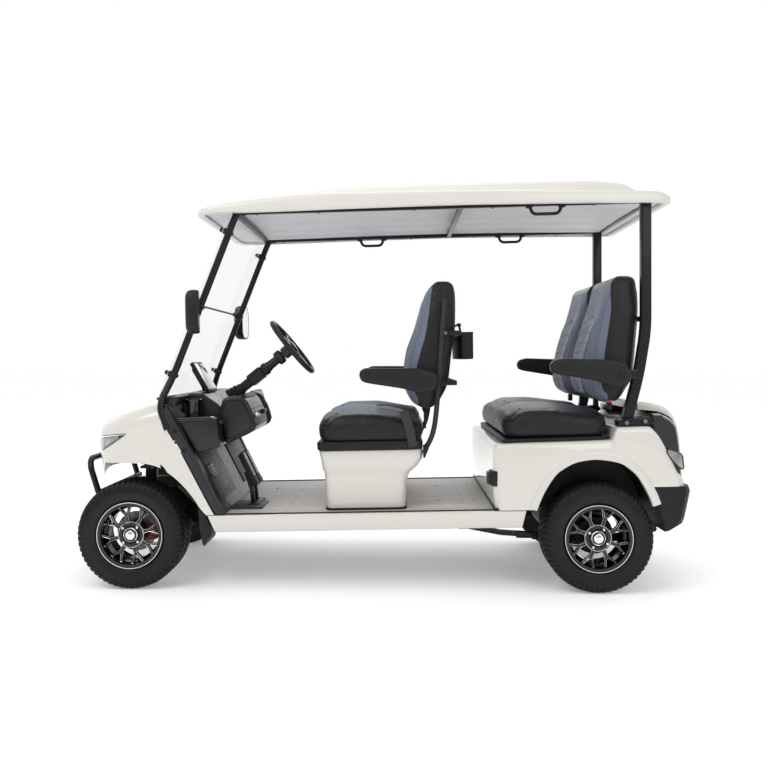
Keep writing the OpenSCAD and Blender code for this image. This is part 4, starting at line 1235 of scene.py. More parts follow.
def make_posts(f):
    path = [at(500, 1371.8 , 1879.5), at(500, 1358, 1254), at(500, 1317, 1032), at(500, 1252, 800)]
    line = rounded(path, 0.07, 8)
    group = []
    rings = []
    for i, p in enumerate(line):
        t = (line[min(i + 1, len(line) - 1)] - line[max(i - 1, 0)]).normalized()
        fwd = Vector((0, 1, 0))
        fwd = (fwd - t * fwd.dot(t)).normalized()
        side = Vector((1, 0, 0))
        ring = []
        for dx, dy in ring_plan(-22, 22, -25, 25, 7, 4):
            ring.append(p + side * dx * 0.001 + fwd * dy * 0.001)
        rings.append(ring)
    group.append(loft("rear_post", rings))
    group.append(prism("post_foot", [(1200, 784), (1345, 784), (1366, 800), (1352, 828), (1262, 822),
            (1200, 812)], 474, 560, 5, 3))
    group.append(prism("arm_bracket", [(1197, 1008), (1197, 1052), (1316, 1062), (1316, 1013)], 519, 529.5, 3,
            2))
    post = merge("rear_post", group)
    paint(post, f["coated"])
    bolt = screw("post_bolt", at(561, 1240, 800), (1, 0, 0), 11, 6)
    bolt2 = screw("post_bolt2", at(561, 1330, 806), (1, 0, 0), 11, 6)
    pin = turned("arm_pin", [(0, 0), (0, 8), (47, 8), (47, 0)], 28, (528, 0, 0))
    pin.data.transform(Matrix.Translation(at(0, 1215, 1030)))
    for o in (bolt, bolt2, pin):
        paint(o, f["steel"])
    post = merge("rear_post", [post, bolt, bolt2, pin])
    both_sides("rear_post", post, "cart", "rear_posts", replaces=("rear_posts",))
    bars = [box_piece("cross", (-480, 1345, 1300), (480, 1370, 1325), 4, 3),
            box_piece("cross", (-480, 1318, 1025), (480, 1340, 1050), 4, 3)]
    bars = merge("rear_cross_bars", bars)
    paint(bars, f["coated"])
    settle(bars, "cart", "rear_posts")


# ---------------------------------------------------------------- dash and controls
def make_dash(f):
    side = [(-1008, 890), (-955, 850), (-880, 690), (-757, 722), (-785, 894), (-812, 928), (-850, 955),
            (-885, 981), (-955, 984), (-990, 952)]
    body = prism("dash_body", side, -372, 372, 9, 4)
    end = [(-1000, 852), (-955, 830), (-880, 690), (-763, 722), (-776, 848), (-784, 858), (-800, 864),
            (-985, 858)]
    ends = [paint(prism("dash_end", end, x0, x1, 9, 4), f["dash"]) for x0, x1 in ((366, 554), (-554, -366))]
    for x0, x1 in ((380, 549), (-549, -380)):
        ends.append(paint(prism("dash_tray", [(-995, 858), (-985, 868), (-812, 872), (-798, 864), (-810, 856),
                (-985, 852)], x0, x1, 4, 3), f["gloss_black"]))
    cowl_top = prism("cowl_vent", [(-1066, 962), (-1052, 940), (-985, 930), (-960, 975), (-1000, 974)], -548,
            548, 5, 3)
    # a lower panel line and a shelf lip across the dash
    lip = prism("dash_lip", [(-765, 838), (-752, 834), (-748, 846), (-764, 852)], -548, 548, 3, 3)
    for o in (body, cowl_top, lip):
        paint(o, f["dash"])
    parts = [body, cowl_top, lip] + ends
    slots = box_piece("slot", (-520, -1046, 950), (-430, -1038, 966), 2, 2)
    for x in range(-3, 4):
        s = box_piece("slot", (x * 145 - 52, -1040, 957), (x * 145 + 52, -1030, 963), 2, 2)
        parts.append(paint(s, f["black"]))
        s = box_piece("slot", (x * 145 - 52, -1022, 957), (x * 145 + 52, -1012, 965), 2, 2)
        parts.append(paint(s, f["black"]))
    parts.append(paint(slots, f["black"]))
    piece = merge("dash", parts)
    settle(piece, "cart", "dashboard", replaces=("dashboard",), angle=35)
    for side_name, x in (("left", 430), ("right", -430)):
        cup = turned("cup_holder_" + side_name, [(-30, 0), (-30, 33), (20, 34.6), (24, 35.2), (27, 37),
                (27, 43), (24, 45.5), (14, 45.5), (8, 42), (-70, 42), (-70, 0)], 56)
        cup.data.transform(Matrix.Translation(at(x, -924, 930)) @ Matrix.Rotation(math.radians(-90), 4, "Y"))
        paint(cup, f["gloss_black"])
        settle(cup, "cart", "dashboard")
    pods = []
    outline = [(-790, 880), (-768, 790), (-757, 722), (-700, 745), (-640, 772), (-600, 797), (-604, 840),
            (-620, 894), (-640, 938), (-664, 964), (-712, 968), (-768, 958)]
    for x0, x1 in ((60, 445), (-445, -60)):
        pod = prism("pod", outline, x0, x1, 16, 5)
        pods.append(paint(pod, f["dash"]))
        # raised face panel toward the seat
        face = prism("pod_face", [(-612, 812), (-598, 812), (-606, 850), (-624, 905), (-640, 905)], x0 + 26,
                x1 - 26, 5, 3)
        pods.append(paint(face, f["grey"]))
        line = prism("pod_line", [(-700, 962), (-694, 972), (-660, 970), (-650, 955)], x0 + 40, x1 - 40, 4, 3)
        pods.append(paint(line, f["black"]))
    knob = turned("key", [(0, 0), (0, 13), (6, 13), (8, 11), (8, 4), (20, 4), (20, 0)], 30)
    knob.data.transform(Matrix.Translation(at(395, -606, 868)) @ Matrix.Rotation(math.radians(90), 4, "Z"))
    pods.append(paint(knob, f["silver"]))
    for i, x in enumerate((120, 150, 180)):
        sw = box_piece("switch", (x, -612, 862), (x + 20, -596, 884), 3, 3)
        pods.append(paint(sw, f["black"] if i else f["red"]))
    ring = tube("pod_edge",
            [at(447, *p) for p in rounded([Vector(o) for o in inset_outline(outline, 18)], 18, 4, True)], 3.0,
            10, closed=True)
    pods.append(paint(ring, f["black"]))
    piece = merge("dash_pods", pods)
    # the passenger's pod is a shallow one: its rear half is drawn in
    for v in piece.data.vertices:
        depth = v.co.y - SHIFT * 0.001 + 0.745
        if v.co.x < -0.1 and depth > 0:
            v.co.y -= depth * 0.55
    settle(piece, "cart", "dash_pods", replaces=("dash_pods",), angle=35)
    toe = [(-985, 822), (-966, 845), (-905, 716), (-762, 424), (-742, 388), (-770, 388), (-788, 420),
            (-925, 700)]
    board = paint(prism("toe_board", toe, -553, 553, 4, 3), f["dash"])
    vent = []
    along_dir = (Vector((-762, 424)) - Vector((-905, 716))).normalized()
    normal = Vector((-along_dir.y, along_dir.x)) 
    if normal.x < 0:
        normal = -normal
    def on_toe(t, off):
        return Vector((-905, 716)) + along_dir * t + normal * off
    panel = prism("toe_panel", [on_toe(20, 0), on_toe(300, 0), on_toe(300, 5), on_toe(20, 5)], 120, 500, 3, 3)
    vent.append(paint(panel, f["grey"]))
    panel = prism("toe_panel", [on_toe(20, 0), on_toe(300, 0), on_toe(300, 5), on_toe(20, 5)], -500, -120, 3,
            3)
    vent.append(paint(panel, f["grey"]))
    vent.append(paint(prism("vent_frame", [on_toe(106, 3), on_toe(184, 3), on_toe(184, 9), on_toe(106, 9)],
            356, 486, 3, 3), f["black"]))
    for i in range(5):
        a = 114 + i * 13
        vent.append(paint(prism("vent_slat", [on_toe(a, 7), on_toe(a + 7, 7), on_toe(a + 9, 12),
                on_toe(a + 2, 12)], 364, 478, 1.2, 2), f["steel"]))
    piece = merge("toe_board", [board] + vent)
    settle(piece, "cart", "toe_board", replaces=("toe_board",), angle=35)
    # screen on its stand
    d = (Vector((-876, 990)) - Vector((-962, 1144))).normalized()
    nrm = Vector((-d.y, d.x))
    if nrm.x < 0:
        nrm = -nrm
    top = Vector((-971, 1141))
    def on_screen(t, off):
        return top + d * t + nrm * off
    shell = paint(prism("screen_shell", [on_screen(0, -11), on_screen(178, -11), on_screen(180, 10),
            on_screen(-2, 10)], 56, 264, 7, 4), f["black"])
    glass = paint(prism("screen_glass", [on_screen(10, 8), on_screen(168, 8), on_screen(168, 11.5),
            on_screen(10, 11.5)], 66, 254, 2.5, 3), f["screen"])
    back = paint(prism("screen_back", [on_screen(30, -24), on_screen(140, -24), on_screen(152, -9),
            on_screen(18, -9)], 84, 236, 6, 3), f["black"])
    foot = paint(prism("screen_foot", [(-932, 984), (-946, 1040), (-926, 1052), (-900, 986)], 138, 182, 5, 3),
            f["coated"])
    settle(merge("dash_screen", [shell, glass, back, foot]), "cart", "dash_screen", replaces=("dash_screen",),
            angle=35)


def inset_outline(pts, d):
    """The outline moved inward by d."""
    n = len(pts)
    area = sum(pts[i][0] * pts[(i + 1) % n][1] - pts[(i + 1) % n][0] * pts[i][1] for i in range(n))
    s = 1 if area > 0 else -1
    out = []
    for i in range(n):
        a = (Vector(pts[i]) - Vector(pts[i - 1])).normalized()
        b = (Vector(pts[(i + 1) % n]) - Vector(pts[i])).normalized()
        m, k = Vector((-a.y, a.x)), Vector((-b.y, b.x))
        out.append(Vector(pts[i]) + (m + k) * (s * d / (1 + m.dot(k))))
    return out


def make_pedals(f):
    parts = []
    for x, w in ((270, 70), (170, 70)):
        pad = prism("pedal_pad", [(-716, 650), (-700, 668), (-690, 664), (-616, 502), (-620, 492),
                (-640, 488)], x, x + w, 4, 3)
        parts.append(paint(pad, f["black"]))
        face = prism("pedal_face", [(-694, 660), (-689, 663), (-618, 506), (-624, 503)], x + 6, x + w - 6, 2,
                2)
        parts.append(paint(face, f["pedal"]))
        arm = prism("pedal_arm", [(-690, 560), (-668, 566), (-640, 470), (-634, 388), (-656, 388),
                (-662, 466)], x + 26, x + 44, 3, 3)
        parts.append(paint(arm, f["coated"]))
    foot = paint(box_piece("pedal_foot", (150, -663, 385), (360, -607, 402), 4, 3), f["black"])
    parts.append(foot)
    plate = prism("foot_plate", [(-834, 388), (-828, 396), (-590, 396), (-580, 391), (-580, 385),
            (-834, 385)], 206, 420, 2, 2)
    parts.append(paint(plate, f["ribs"]))
    settle(merge("pedals", parts), "cart", "pedals", replaces=("pedals",), angle=35)


COLUMN = Matrix.Translation(at(300, -422, 1213)) @ Matrix.Rotation(math.radians(38 - 90), 4, "X")


def make_column(f):
    def z_turned(name, profile, steps=40):
        obj = turned(name, profile, steps)
        obj.data.transform(Matrix.Rotation(math.radians(-90), 4, "Y"))
        return obj
    parts = [paint(z_turned("column", [(-415, 0), (-415, 25), (-250, 27), (-160, 27), (-150, 24), (-90, 22),
            (-90, 0)]), f["coated"])]
    boot = z_turned("column_boot", [(-420, 0), (-420, 46), (-408, 46), (-400, 38), (-390, 43), (-380, 35),
            (-370, 40), (-360, 31), (-348, 30), (-340, 28), (-340, 0)])
    parts.append(paint(boot, f["rubber"]))
    box = box_piece("column_box", (-38, -32, -286), (38, 32, -200), 9, 4, level=False)
    parts.append(paint(box, f["black"]))
    collar = z_turned("column_collar", [(-106, 0), (-106, 30), (-100, 37), (-76, 38), (-68, 33), (-64, 20),
            (-64, 0)])
    parts.append(paint(collar, f["black"]))
    clamp_ring = z_turned("column_clamp", [(-196, 0), (-196, 31), (-190, 33), (-176, 33), (-170, 31),
            (-170, 0)])
    parts.append(paint(clamp_ring, f["black"]))
    # turn-signal lever with its knob
    path = spline([Vector((0.03, 0.0, -0.085)), Vector((0.09, 0.006, -0.08)), Vector((0.15, 0.012, -0.07))],
            6)
    lever = tube("lever", path, [5] * (len(path) - 4) + [6.5, 8, 8.5, 6], 14)
    parts.append(paint(lever, f["black"]))
    path = spline([Vector((-0.03, 0.0, -0.24)), Vector((-0.07, -0.004, -0.235)),
            Vector((-0.1, -0.004, -0.22))], 6)
    parts.append(paint(tube("tilt_lever", path, [5] * (len(path) - 3) + [8, 8, 6], 14), f["black"]))
    piece = merge("steering_column", parts)
    piece.data.transform(COLUMN)
    settle(piece, "cart", "steering_column", replaces=("steering_column",), angle=35)


def make_steering_wheel(f):
    mid = 0.162
    path = [Vector((mid * math.cos(q), mid * math.sin(q),
            0)) for q in [2 * math.pi * k / 96 for k in range(96)]]
    radii = [13.2 + (0.7 * math.sin(k * 2 * math.pi / 96 * 48) if (k // 12) % 2 else 0) for k in range(96)]
    rim = paint(tube("rim", path, radii, 22, closed=True), f["vinyl"])
    parts = [rim]
    for a in (90, 210, 330):
        rings = []
        for r, w, h, z in ((22, 23, 10, -2), (45, 19, 9, -2), (80, 14, 7, -4), (120, 12, 6.5, -4),
                (140, 16, 8, -2), (154, 20, 9, 0)):
            rings.append([Vector((r, dx, z + dz)) * 0.001 for dx,
                    dz in [(w * math.cos(q),
                    h * math.sin(q)) for q in [2 * math.pi * k / 20 for k in range(20)]]])
        spoke = loft("spoke", rings)
        spoke.data.transform(Matrix.Rotation(math.radians(a), 4, "Z"))
        parts.append(paint(spoke, f["dash"]))
        groove = box_piece("spoke_line", (50, -2, 3), (118, 2, 5.4), 1, 2, level=False)
        groove.data.transform(Matrix.Rotation(math.radians(a), 4, "Z"))
        parts.append(paint(groove, f["silver"]))
    hub = turned("hub", [(-60, 0), (-60, 30), (-52, 33), (-20, 33), (-6, 38), (6, 38), (12, 33), (15, 24),
            (17, 10), (17, 0)], 48)
    hub.data.transform(Matrix.Rotation(math.radians(-90), 4, "Y"))
    parts.append(paint(hub, f["dash"]))
    shaft = turned("shaft", [(-172, 0), (-172, 9.8), (-58, 9.8), (-58, 0)], 24)
    shaft.data.transform(Matrix.Rotation(math.radians(-90), 4, "Y"))
    parts.append(paint(shaft, f["steel"]))
    piece = merge("steering_wheel", parts)
    piece.data.transform(COLUMN)
    settle(piece, "steering_wheel", "steering_wheel", replaces=("steering_wheel",), angle=35)


# ---------------------------------------------------------------- seats
def cushion_grid(name, x0, x1, y0, y1, low, top_at, radius, swell, n=40, m=30):
    """A padded block: crowned top from top_at(u, v), sides that bulge by swell and pull in at the foot."""
    rows = []
    for i in range(m + 1):
        v = i / m
        row = []
        for j in range(n + 1):
            u = j / n
            uu, vv = 2 * u - 1, 2 * v - 1
            # a rounded plan: corners of the grid pulled in to a quarter circle
            hx, hy = (x1 - x0) / 2 - 22, (y1 - y0) / 2 - 22
            px, py = uu * hx, vv * hy
            r = radius
            ex, ey = max(abs(px) - (hx - r), 0) / r, max(abs(py) - (hy - r), 0) / r
            if ex > 0 and ey > 0:
                big, length = max(ex, ey), math.hypot(ex, ey)
                k = big / length
                px = math.copysign(hx - r + ex * k * r, px)
                py = math.copysign(hy - r + ey * k * r, py)
            row.append(at((x0 + x1) / 2 + px, (y0 + y1) / 2 + py, top_at(u, v)))
        rows.append(row)

    def skirt(k, p, out):
        top = p.z * 1000
        col = []
        for d, t in ((9, 0.05), (16, 0.14), (20.5, 0.27), (22 + swell * 0.5, 0.4), (22 + swell, 0.56),
                (22 + swell * 0.7, 0.74), (20, 0.9), (14, 0.985), (4, 1.0)):
            col.append(Vector((p.x, p.y, 0)) + out * d * 0.001 + Vector((0, 0, lerp(top, low, t) * 0.001)))
        return col

    return domed(name, rows, skirt, close_bottom=True)


def puff(obj, cap=7.0, voxel=6.0, pressure=4.0, frames=14):
    """Inflates a cushion a little with a short cloth run and bakes the result."""
    scene = bpy.context.scene
    rest = obj.copy()
    rest.data = obj.data.copy()
    rest.modifiers.clear()
    remesh = obj.modifiers.new("Even mesh", "REMESH")
    remesh.mode = "VOXEL"
    remesh.voxel_size = voxel * 0.001
    bake(obj)
    start = [v.co.copy() for v in obj.data.vertices]
    cloth = obj.modifiers.new("Cloth", "CLOTH")
    s = cloth.settings
    s.quality = 4
    s.mass = 0.3
    s.tension_stiffness = s.compression_stiffness = 12
    s.bending_stiffness = 1.5
    s.use_pressure = True
    s.uniform_pressure_force = pressure
    s.effector_weights.gravity = 0
    cloth.point_cache.frame_start = 1
    cloth.point_cache.frame_end = frames
    for n in range(1, frames + 1):
        scene.frame_set(n)
    bake(obj)
    scene.frame_set(1)
    limit = cap * 0.001
    for v, s0 in zip(obj.data.vertices, start):
        d = v.co - s0
        if d.length > limit:
            v.co = s0 + d * (limit / d.length)
    bpy.data.objects.remove(rest)
    return obj


def make_seat_base(f):
    rings = []
    for z, y0, y1, w, r in ((385, -240, 150, 488, 34), (420, -246, 155, 490, 38), (520, -252, 161, 492, 40),
            (556, -253, 172, 493, 40), (572, -254, 184, 494, 40),
                            (588, -262, 204, 499, 42), (606, -265, 222, 500, 42), (637, -269, 243, 500, 42),
                            (668, -276, 248, 500, 42), (683, -278, 246, 497, 40)):
        rings.append([at(x, y, z) for x, y in ring_plan(-w, w, y0, y1, r, 7)])
    base = loft("front_seat_base", rings)
    paint(base, f["paint"])
    skirt_ring = [[at(x, y, z) for x, y in ring_plan(-w, w, -250, 160, 40, 7)] for z,
            w in ((384.5, 496), (392, 496), (396, 491))]
    foot = paint(loft("seat_base_foot", skirt_ring), f["black"])
    settle(merge("front_seat_base", [base, foot]), "cart", "front_seat_base", replaces=("front_seat_base",),
            angle=32)
    rings = []
    for z, g in ((683, -8), (690, 0), (718, 2), (727, 0), (731, -5)):
        rings.append([at(x, y, z) for x, y in ring_plan(-510 - g, 510 + g, -284 - g, 245 + g, 36, 7)])
    tray = paint(loft("front_seat_tray", rings), f["black"])
    rings = []
    for (z0, z1), g in (((712, 712), -6), ((716, 718), 0), ((730, 738), 0), ((733.5, 740), -8)):
        rings.append([at(x, y, lerp(z0, z1, (y - 636) / 522)) for x,
                y in ring_plan(-562 - g, 562 + g, 636 - g, 1158 + g, 30, 7)])
    rear = paint(loft("rear_seat_tray", rings), f["black"])
    settle(merge("seat_trays", [tray, rear]), "cart", "seat_trays", replaces=("seat_trays",), angle=35)


def make_cushions(f):
    def front_top(u, v):
        uu = 2 * u - 1
        z = lerp(846, 876, ease(v, 0.0, 0.22)) - 34 * ease(v, 0.5, 1.0)
        z -= 22 * abs(uu) ** 6
        z += 12 * (1 - ease(abs(abs(uu) - 0.5), 0.12, 0.46)) - 8 * (1 - ease(abs(uu), 0.0, 0.09))
        return z

    def rear_top(u, v):
        uu = 2 * u - 1
        z = lerp(852, 880, ease(v, 0.0, 0.2)) - 28 * ease(v, 0.4, 1.0)
        z -= 20 * abs(uu) ** 6
        z += 10 * (1 - ease(abs(abs(uu) - 0.5), 0.12, 0.46)) - 8 * (1 - ease(abs(uu), 0.0, 0.09))
        return z

    for name, x, y0, y1, low, top in (("front_cushion", 520, -278, 248, 732, front_top),
            ("rear_cushion", 564, 642, 1158, 741, rear_top)):
        c = cushion_grid(name, -x, x, y0, y1, low, top, 70, 3, 72, 36)
        puff(c, 5.0, 7.0)

        def pick(p, nrm, x=x, y0=y0, y1=y1):
            y = p.y - SHIFT
            ax = abs(abs(p.x) - x * 0.49)
            if nrm.z > 0.6 and ax < x * 0.335 and y0 + 70 < y < y1 - 40:
                return 1
            if nrm.z > 0.45 and ax < x * 0.40 and y0 + 34 < y < y1:
                return 2
            return 0

        paint_faces(c, (f["vinyl"], f["slate"] if name == "front_cushion" else f["navy"],
                f["navy"] if name == "front_cushion" else f["vinyl"]), pick)
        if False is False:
            subdivide(c)
        settle(c, "cart", "seat_cushions", replaces=("seat_cushions",), angle=60)
        # piping round the top edge
        def top_z(px, py, x=x, y0=y0, y1=y1, top=top):
            return top(clamp((px + x - 22) / (2 * x - 44)), clamp((py - y0 - 22) / (y1 - y0 - 44)))
        plan = ring_plan(-x + 12, x - 12, y0 + 12, y1 - 12, 62, 8)
        path = [at(px, py, top_z(px, py) - 9) for px, py in plan]
        pipe = tube(name + "_piping", path, 3.0, 10, closed=True)
        paint(pipe, f["vinyl"])
        settle(pipe, "cart", "seat_cushions", angle=60)
        seams = []
        for sx in (-1, 1):
            cx = sx * x * 0.49
            for half, ya, yb, r in ((x * 0.335, y0 + 70, y1 - 40, 40), (x * 0.345, y0 + 62, y1 - 34, 44)):
                plan = ring_plan(cx - half, cx + half, ya, yb, r, 6)
                pts = [at(px, py, top_z(px, py) + (2.2)) for px, py in plan]
                pts.append(pts[0])
                dense = spline(pts, 3)
                seams.append(stitches(name + "_stitch", dense, f["thread"], 1.1, 6, 3.5))
        seam = merge(name + "_stitches", seams)
        settle(seam, "cart", "seat_cushions", angle=60)


BACK_FRONT = curve_through([(884, 236), (910, 200), (950, 176), (1000, 158), (1086, 163), (1184, 181),
        (1290, 224), (1400, 260), (1470, 284), (1510, 308), (1530, 322)])
BACK_REAR = curve_through([(884, 314), (941, 352), (999, 380), (1162, 404), (1286, 425), (1466, 430),
        (1508, 426), (1530, 418)])
BACK_SPLIT = curve_through([(884, 240), (1000, 226), (1086, 236), (1261, 284), (1461, 312), (1530, 330)])
def bucket(name, x0, x1, low, high, front_at, rear_at, split_at):
    """A bucket seat back: side bolsters forward of a dished middle, arched top, bolstered rear corners."""
    mid, half = (x0 + x1) / 2, (x1 - x0) / 2
    n = 56
    m = 64
    rings = []
    for i in range(m + 1):
        t = i / m
        z = lerp(low, high, t)
        # half width: tapered at the head, tucked at the foot
        w = half * (1 - 0.07 * ease(t, 0.7, 0.97) - 0.06 * (1 - ease(t, 0.0, 0.12)))
        cap = clamp((t - 0.96) / 0.04)
        w *= math.sqrt(max(1 - cap**2, 0.0)) * 0.16 + 0.84
        foot = clamp((0.05 - t) / 0.05)
        yf, yr = front_at(z), rear_at(z)
        pinch = 0.24 * (cap**2) + 0.32 * foot**2
        ym = (yf + yr) / 2
        yf, yr = lerp(yf, ym, pinch), lerp(yr, ym, pinch)
        split = lerp(split_at(z), ym, pinch)
        bolster = 16 * (1 - ease(t, 0.66, 0.9)) * ease(t, 0.02, 0.12)
        ring = []
        for k in range(n):
            q = 2 * math.pi * k / n
            c, s = math.cos(q), math.sin(q)
            px = math.copysign(abs(c) ** (0.4 if s <= 0 else 0.22), c)
            py = math.copysign(abs(s) ** (0.6 if s <= 0 else 0.24), s)
            x = px * w
            if s <= 0:
                base = yf + (split - yf) * 0.62 * abs(px) ** 5
                y = lerp(split, base + bolster * (1 - ease(abs(px), 0.2, 0.6)), abs(py))
            else:
                y = lerp(split, yr - 8 * abs(px) ** 8 - 4 * (1 - abs(px)), abs(py))
            ring.append(at(mid + x, y, z))
        rings.append(ring)
    body = loft(name, rings)
    return body


def make_seat_back(name, x0, x1, low, high, front_at, rear_at, split_at, f):
    body = bucket(name, x0, x1, low, high, front_at, rear_at, split_at)
    puff(body, 4.0, 7.0, 2.5, 10)
    subdivide(body)
    mid, half = (x0 + x1) / 2, (x1 - x0) / 2

    def pick(p, nrm):
        y, z = p.y - SHIFT, p.z
        t = (z - low) / (high - low)
        ax = abs(p.x - mid) / half
        if y > split_at(z) - 5 or t > 0.95 or ax > 0.97:
            return 0
        arch = 0.60 - 0.18 * ease(t, 0.55, 0.9)
        if ax < arch * 0.80 and 0.06 < t < 0.62 - 0.10 * (ax / arch) ** 2:
            return 1
        if ax < arch and t < 0.70 - 0.06 * (ax / arch) ** 2:
            return 2
        return 1

    paint_faces(body, (f["vinyl"], f["slate"], f["navy"]), pick)
    settle(body, "cart", "seat_backs", replaces=("seat_backs",), angle=60)
    # seams: round the panel and across it in channels, laid on the surface
    tree = bvh_of(body)
    seams = []
    lift = 1.2

    def front_point(x, z):
        """The leaned surface point seen from the front at (x, z)."""
        start = LEAN @ at(x, -900, z)
        way = (LEAN.to_3x3() @ Vector((0, 1, 0))).normalized()
        hit = tree.ray_cast(start, way)
        return hit[0] - way * lift * 0.001 if hit[0] is not None else None

    lines = []
    for zt in (0.16, 0.24, 0.32, 0.40, 0.48, 0.56):
        lines.append([(mid + half * 0.46 * u, lerp(low, high,
                zt) - 10 * u * u) for u in [k / 12 - 1 for k in range(25)]])
    for side in (-1, 1):
        lines.append([(mid + side * half * (0.60 - 0.18 * ease(t, 0.55, 0.9)),
                lerp(low, high, t)) for t in [0.04 + 0.6 * k / 24 for k in range(25)]])
        lines.append([(mid + side * half * (0.855 - 0.24 * ease(t, 0.6, 0.95)),
                lerp(low, high, t)) for t in [0.05 + 0.88 * k / 30 for k in range(31)]])
    lines.append([(mid + half * 0.42 * u, lerp(low, high,
            0.69 - 0.05 * u * u)) for u in [k / 12 - 1 for k in range(25)]])
    for line in lines:
        pts = [front_point(x, z) for x, z in line]
        pts = [p for p in pts if p is not None]
        if len(pts) > 3:
            seams.append(stitches(name + "_stitch", spline(pts, 3), f["thread"], 1.0, 6, 3.5))
    if seams:
        seam = merge(name + "_stitches", seams)
        settle(seam, "cart", "seat_backs", lean=False, angle=60)


def bvh_of(obj):
    from mathutils.bvhtree import BVHTree
    bm = bmesh.new()
    bm.from_mesh(obj.data)
    tree = BVHTree.FromBMesh(bm)
    bm.free()
    return tree


REAR_FRONT = curve_through([(902, 1160), (926, 1092), (962, 1066), (1010, 1056), (1080, 1063), (1135, 1074),
        (1259, 1116), (1371, 1163), (1470, 1198), (1512, 1216), (1531, 1228)])
REAR_REAR = curve_through([(902, 1236), (960, 1266), (1008, 1296), (1200, 1324), (1400, 1340), (1490, 1334),
        (1527, 1326), (1531, 1320)])
REAR_SPLIT = curve_through([(902, 1180), (960, 1166), (1131, 1174), (1320, 1196), (1450, 1204), (1531, 1216)])


def make_backs(f):
    for side in (1, -1):
        tag = "left" if side > 0 else "right"
        a, b = (14, 462) if side > 0 else (-462, -14)
        make_seat_back("front_seat_back_" + tag, a, b, 886, 1529, BACK_FRONT, BACK_REAR, BACK_SPLIT, f)
        a, b = (14, 500) if side > 0 else (-500, -14)
        make_seat_back("rear_seat_back_" + tag, a, b, 904, 1530, REAR_FRONT, REAR_REAR, REAR_SPLIT, f)


def make_seat_frames(f):
    path = rounded([at(482, 372, 1432), at(482, 322, 905), at(482, 308, 800), at(482, 290, 738),
            at(482, 262, 690)], 0.08, 8)
    group = [paint(tube("seat_tube", path, 13, 22), f["grey"])]
    group.append(paint(prism("tube_foot", [(247, 640), (255, 640), (277, 690), (272, 714), (247, 702)], 462,
            502, 2.5, 3), f["coated"]))
    for ya, yb, z in ((338, 452, 1250), (322, 424, 1000)):
        group.append(paint(box_piece("tube_arm", (474, ya, z), (490, yb, z + 24), 3, 3), f["coated"]))
    group.append(paint(prism("arm_bracket", [(253, 1010), (253, 1050), (338, 1057), (338, 1003)], 484, 499, 3,
            3), f["coated"]))
    pin = turned("arm_pin", [(0, 0), (0, 8), (50, 8), (50, 0)], 28, (497, 0, 0))
    pin.data.transform(Matrix.Translation(at(0, 265, 1030)))
    group.append(paint(pin, f["steel"]))
    group.append(paint(screw("tube_bolt", at(495, 372, 1262), (1, 0, 0), 9, 5), f["steel"]))
    both_sides("seat_tube", merge("seat_tube", group), "cart", "seat_frames", replaces=("seat_frames",))
    bars = [box_piece("bar", (-482, 434, 1250), (482, 452, 1274), 4, 3),
            box_piece("bar", (-482, 406, 1000), (482, 424, 1024), 4, 3)]
    settle(paint(merge("seat_cross_bars", bars), f["coated"]), "cart", "seat_frames")
    # tray behind the front seats
    rings = []
    for z, g in ((1128, -10), (1134, 0), (1260, 2), (1268, 4), (1270, 2), (1268, -3), (1262, -6), (1140, -7),
            (1136, -14)):
        rings.append([at(x, y, z) for x, y in ring_plan(-328 - g, 328 + g, 456 - g * 0.5, 524 + g * 0.6, 18,
                6)])
    tray = paint(loft("storage_tray", rings), f["black"])
    bar = tube("tray_rail",
            rounded([at(-318, 460, 1266), at(-318, 452, 1312), at(318, 452, 1312), at(318, 460, 1266)], 0.02,
            5), 6, 14)
    knob = turned("tray_knob", [(0, 0), (0, 9), (14, 11), (22, 9), (24, 0)], 24)
    knob.data.transform(Matrix.Translation(at(320, 452, 1306)))
    settle(merge("storage_tray", [tray, paint(bar, f["coated"]), paint(knob, f["black"])]), "cart",
            "storage_tray", replaces=("storage_tray",), angle=35)


def arm_pad(name, outline, x0, x1, f):
    """A moulded armrest: rounded across its width, with a stitched soft top."""
    n = 9
    rings = []
    pts = [Vector(p) for p in rounded([Vector(p) for p in outline], 16, 3, True)]
    centre = sum(pts, Vector((0, 0))) / len(pts)
    for k in range(n):
        t = k / (n - 1)
        a = math.pi * (t - 0.5)
        x = lerp((x0 + x1) / 2, x1 if t > 0.5 else x0, abs(math.sin(a)) ** 0.6) if t != 0.5 else (x0 + x1) / 2
        shrink = 15 * (1 - math.cos(a) ** 0.45) if abs(t - 0.5) < 0.499 else 15
        ring = []
        for p in pts:
            d = p - centre
            q = p - Vector((math.copysign(min(abs(d.x), shrink), d.x) if abs(d.x) > 60 else 0,
                    math.copysign(min(abs(d.y), shrink * 0.8), d.y)))
            ring.append(at(x, q.x, q.y))
        rings.append(ring)
    obj = loft(name, rings)
    paint(obj, f["vinyl"])
    return obj


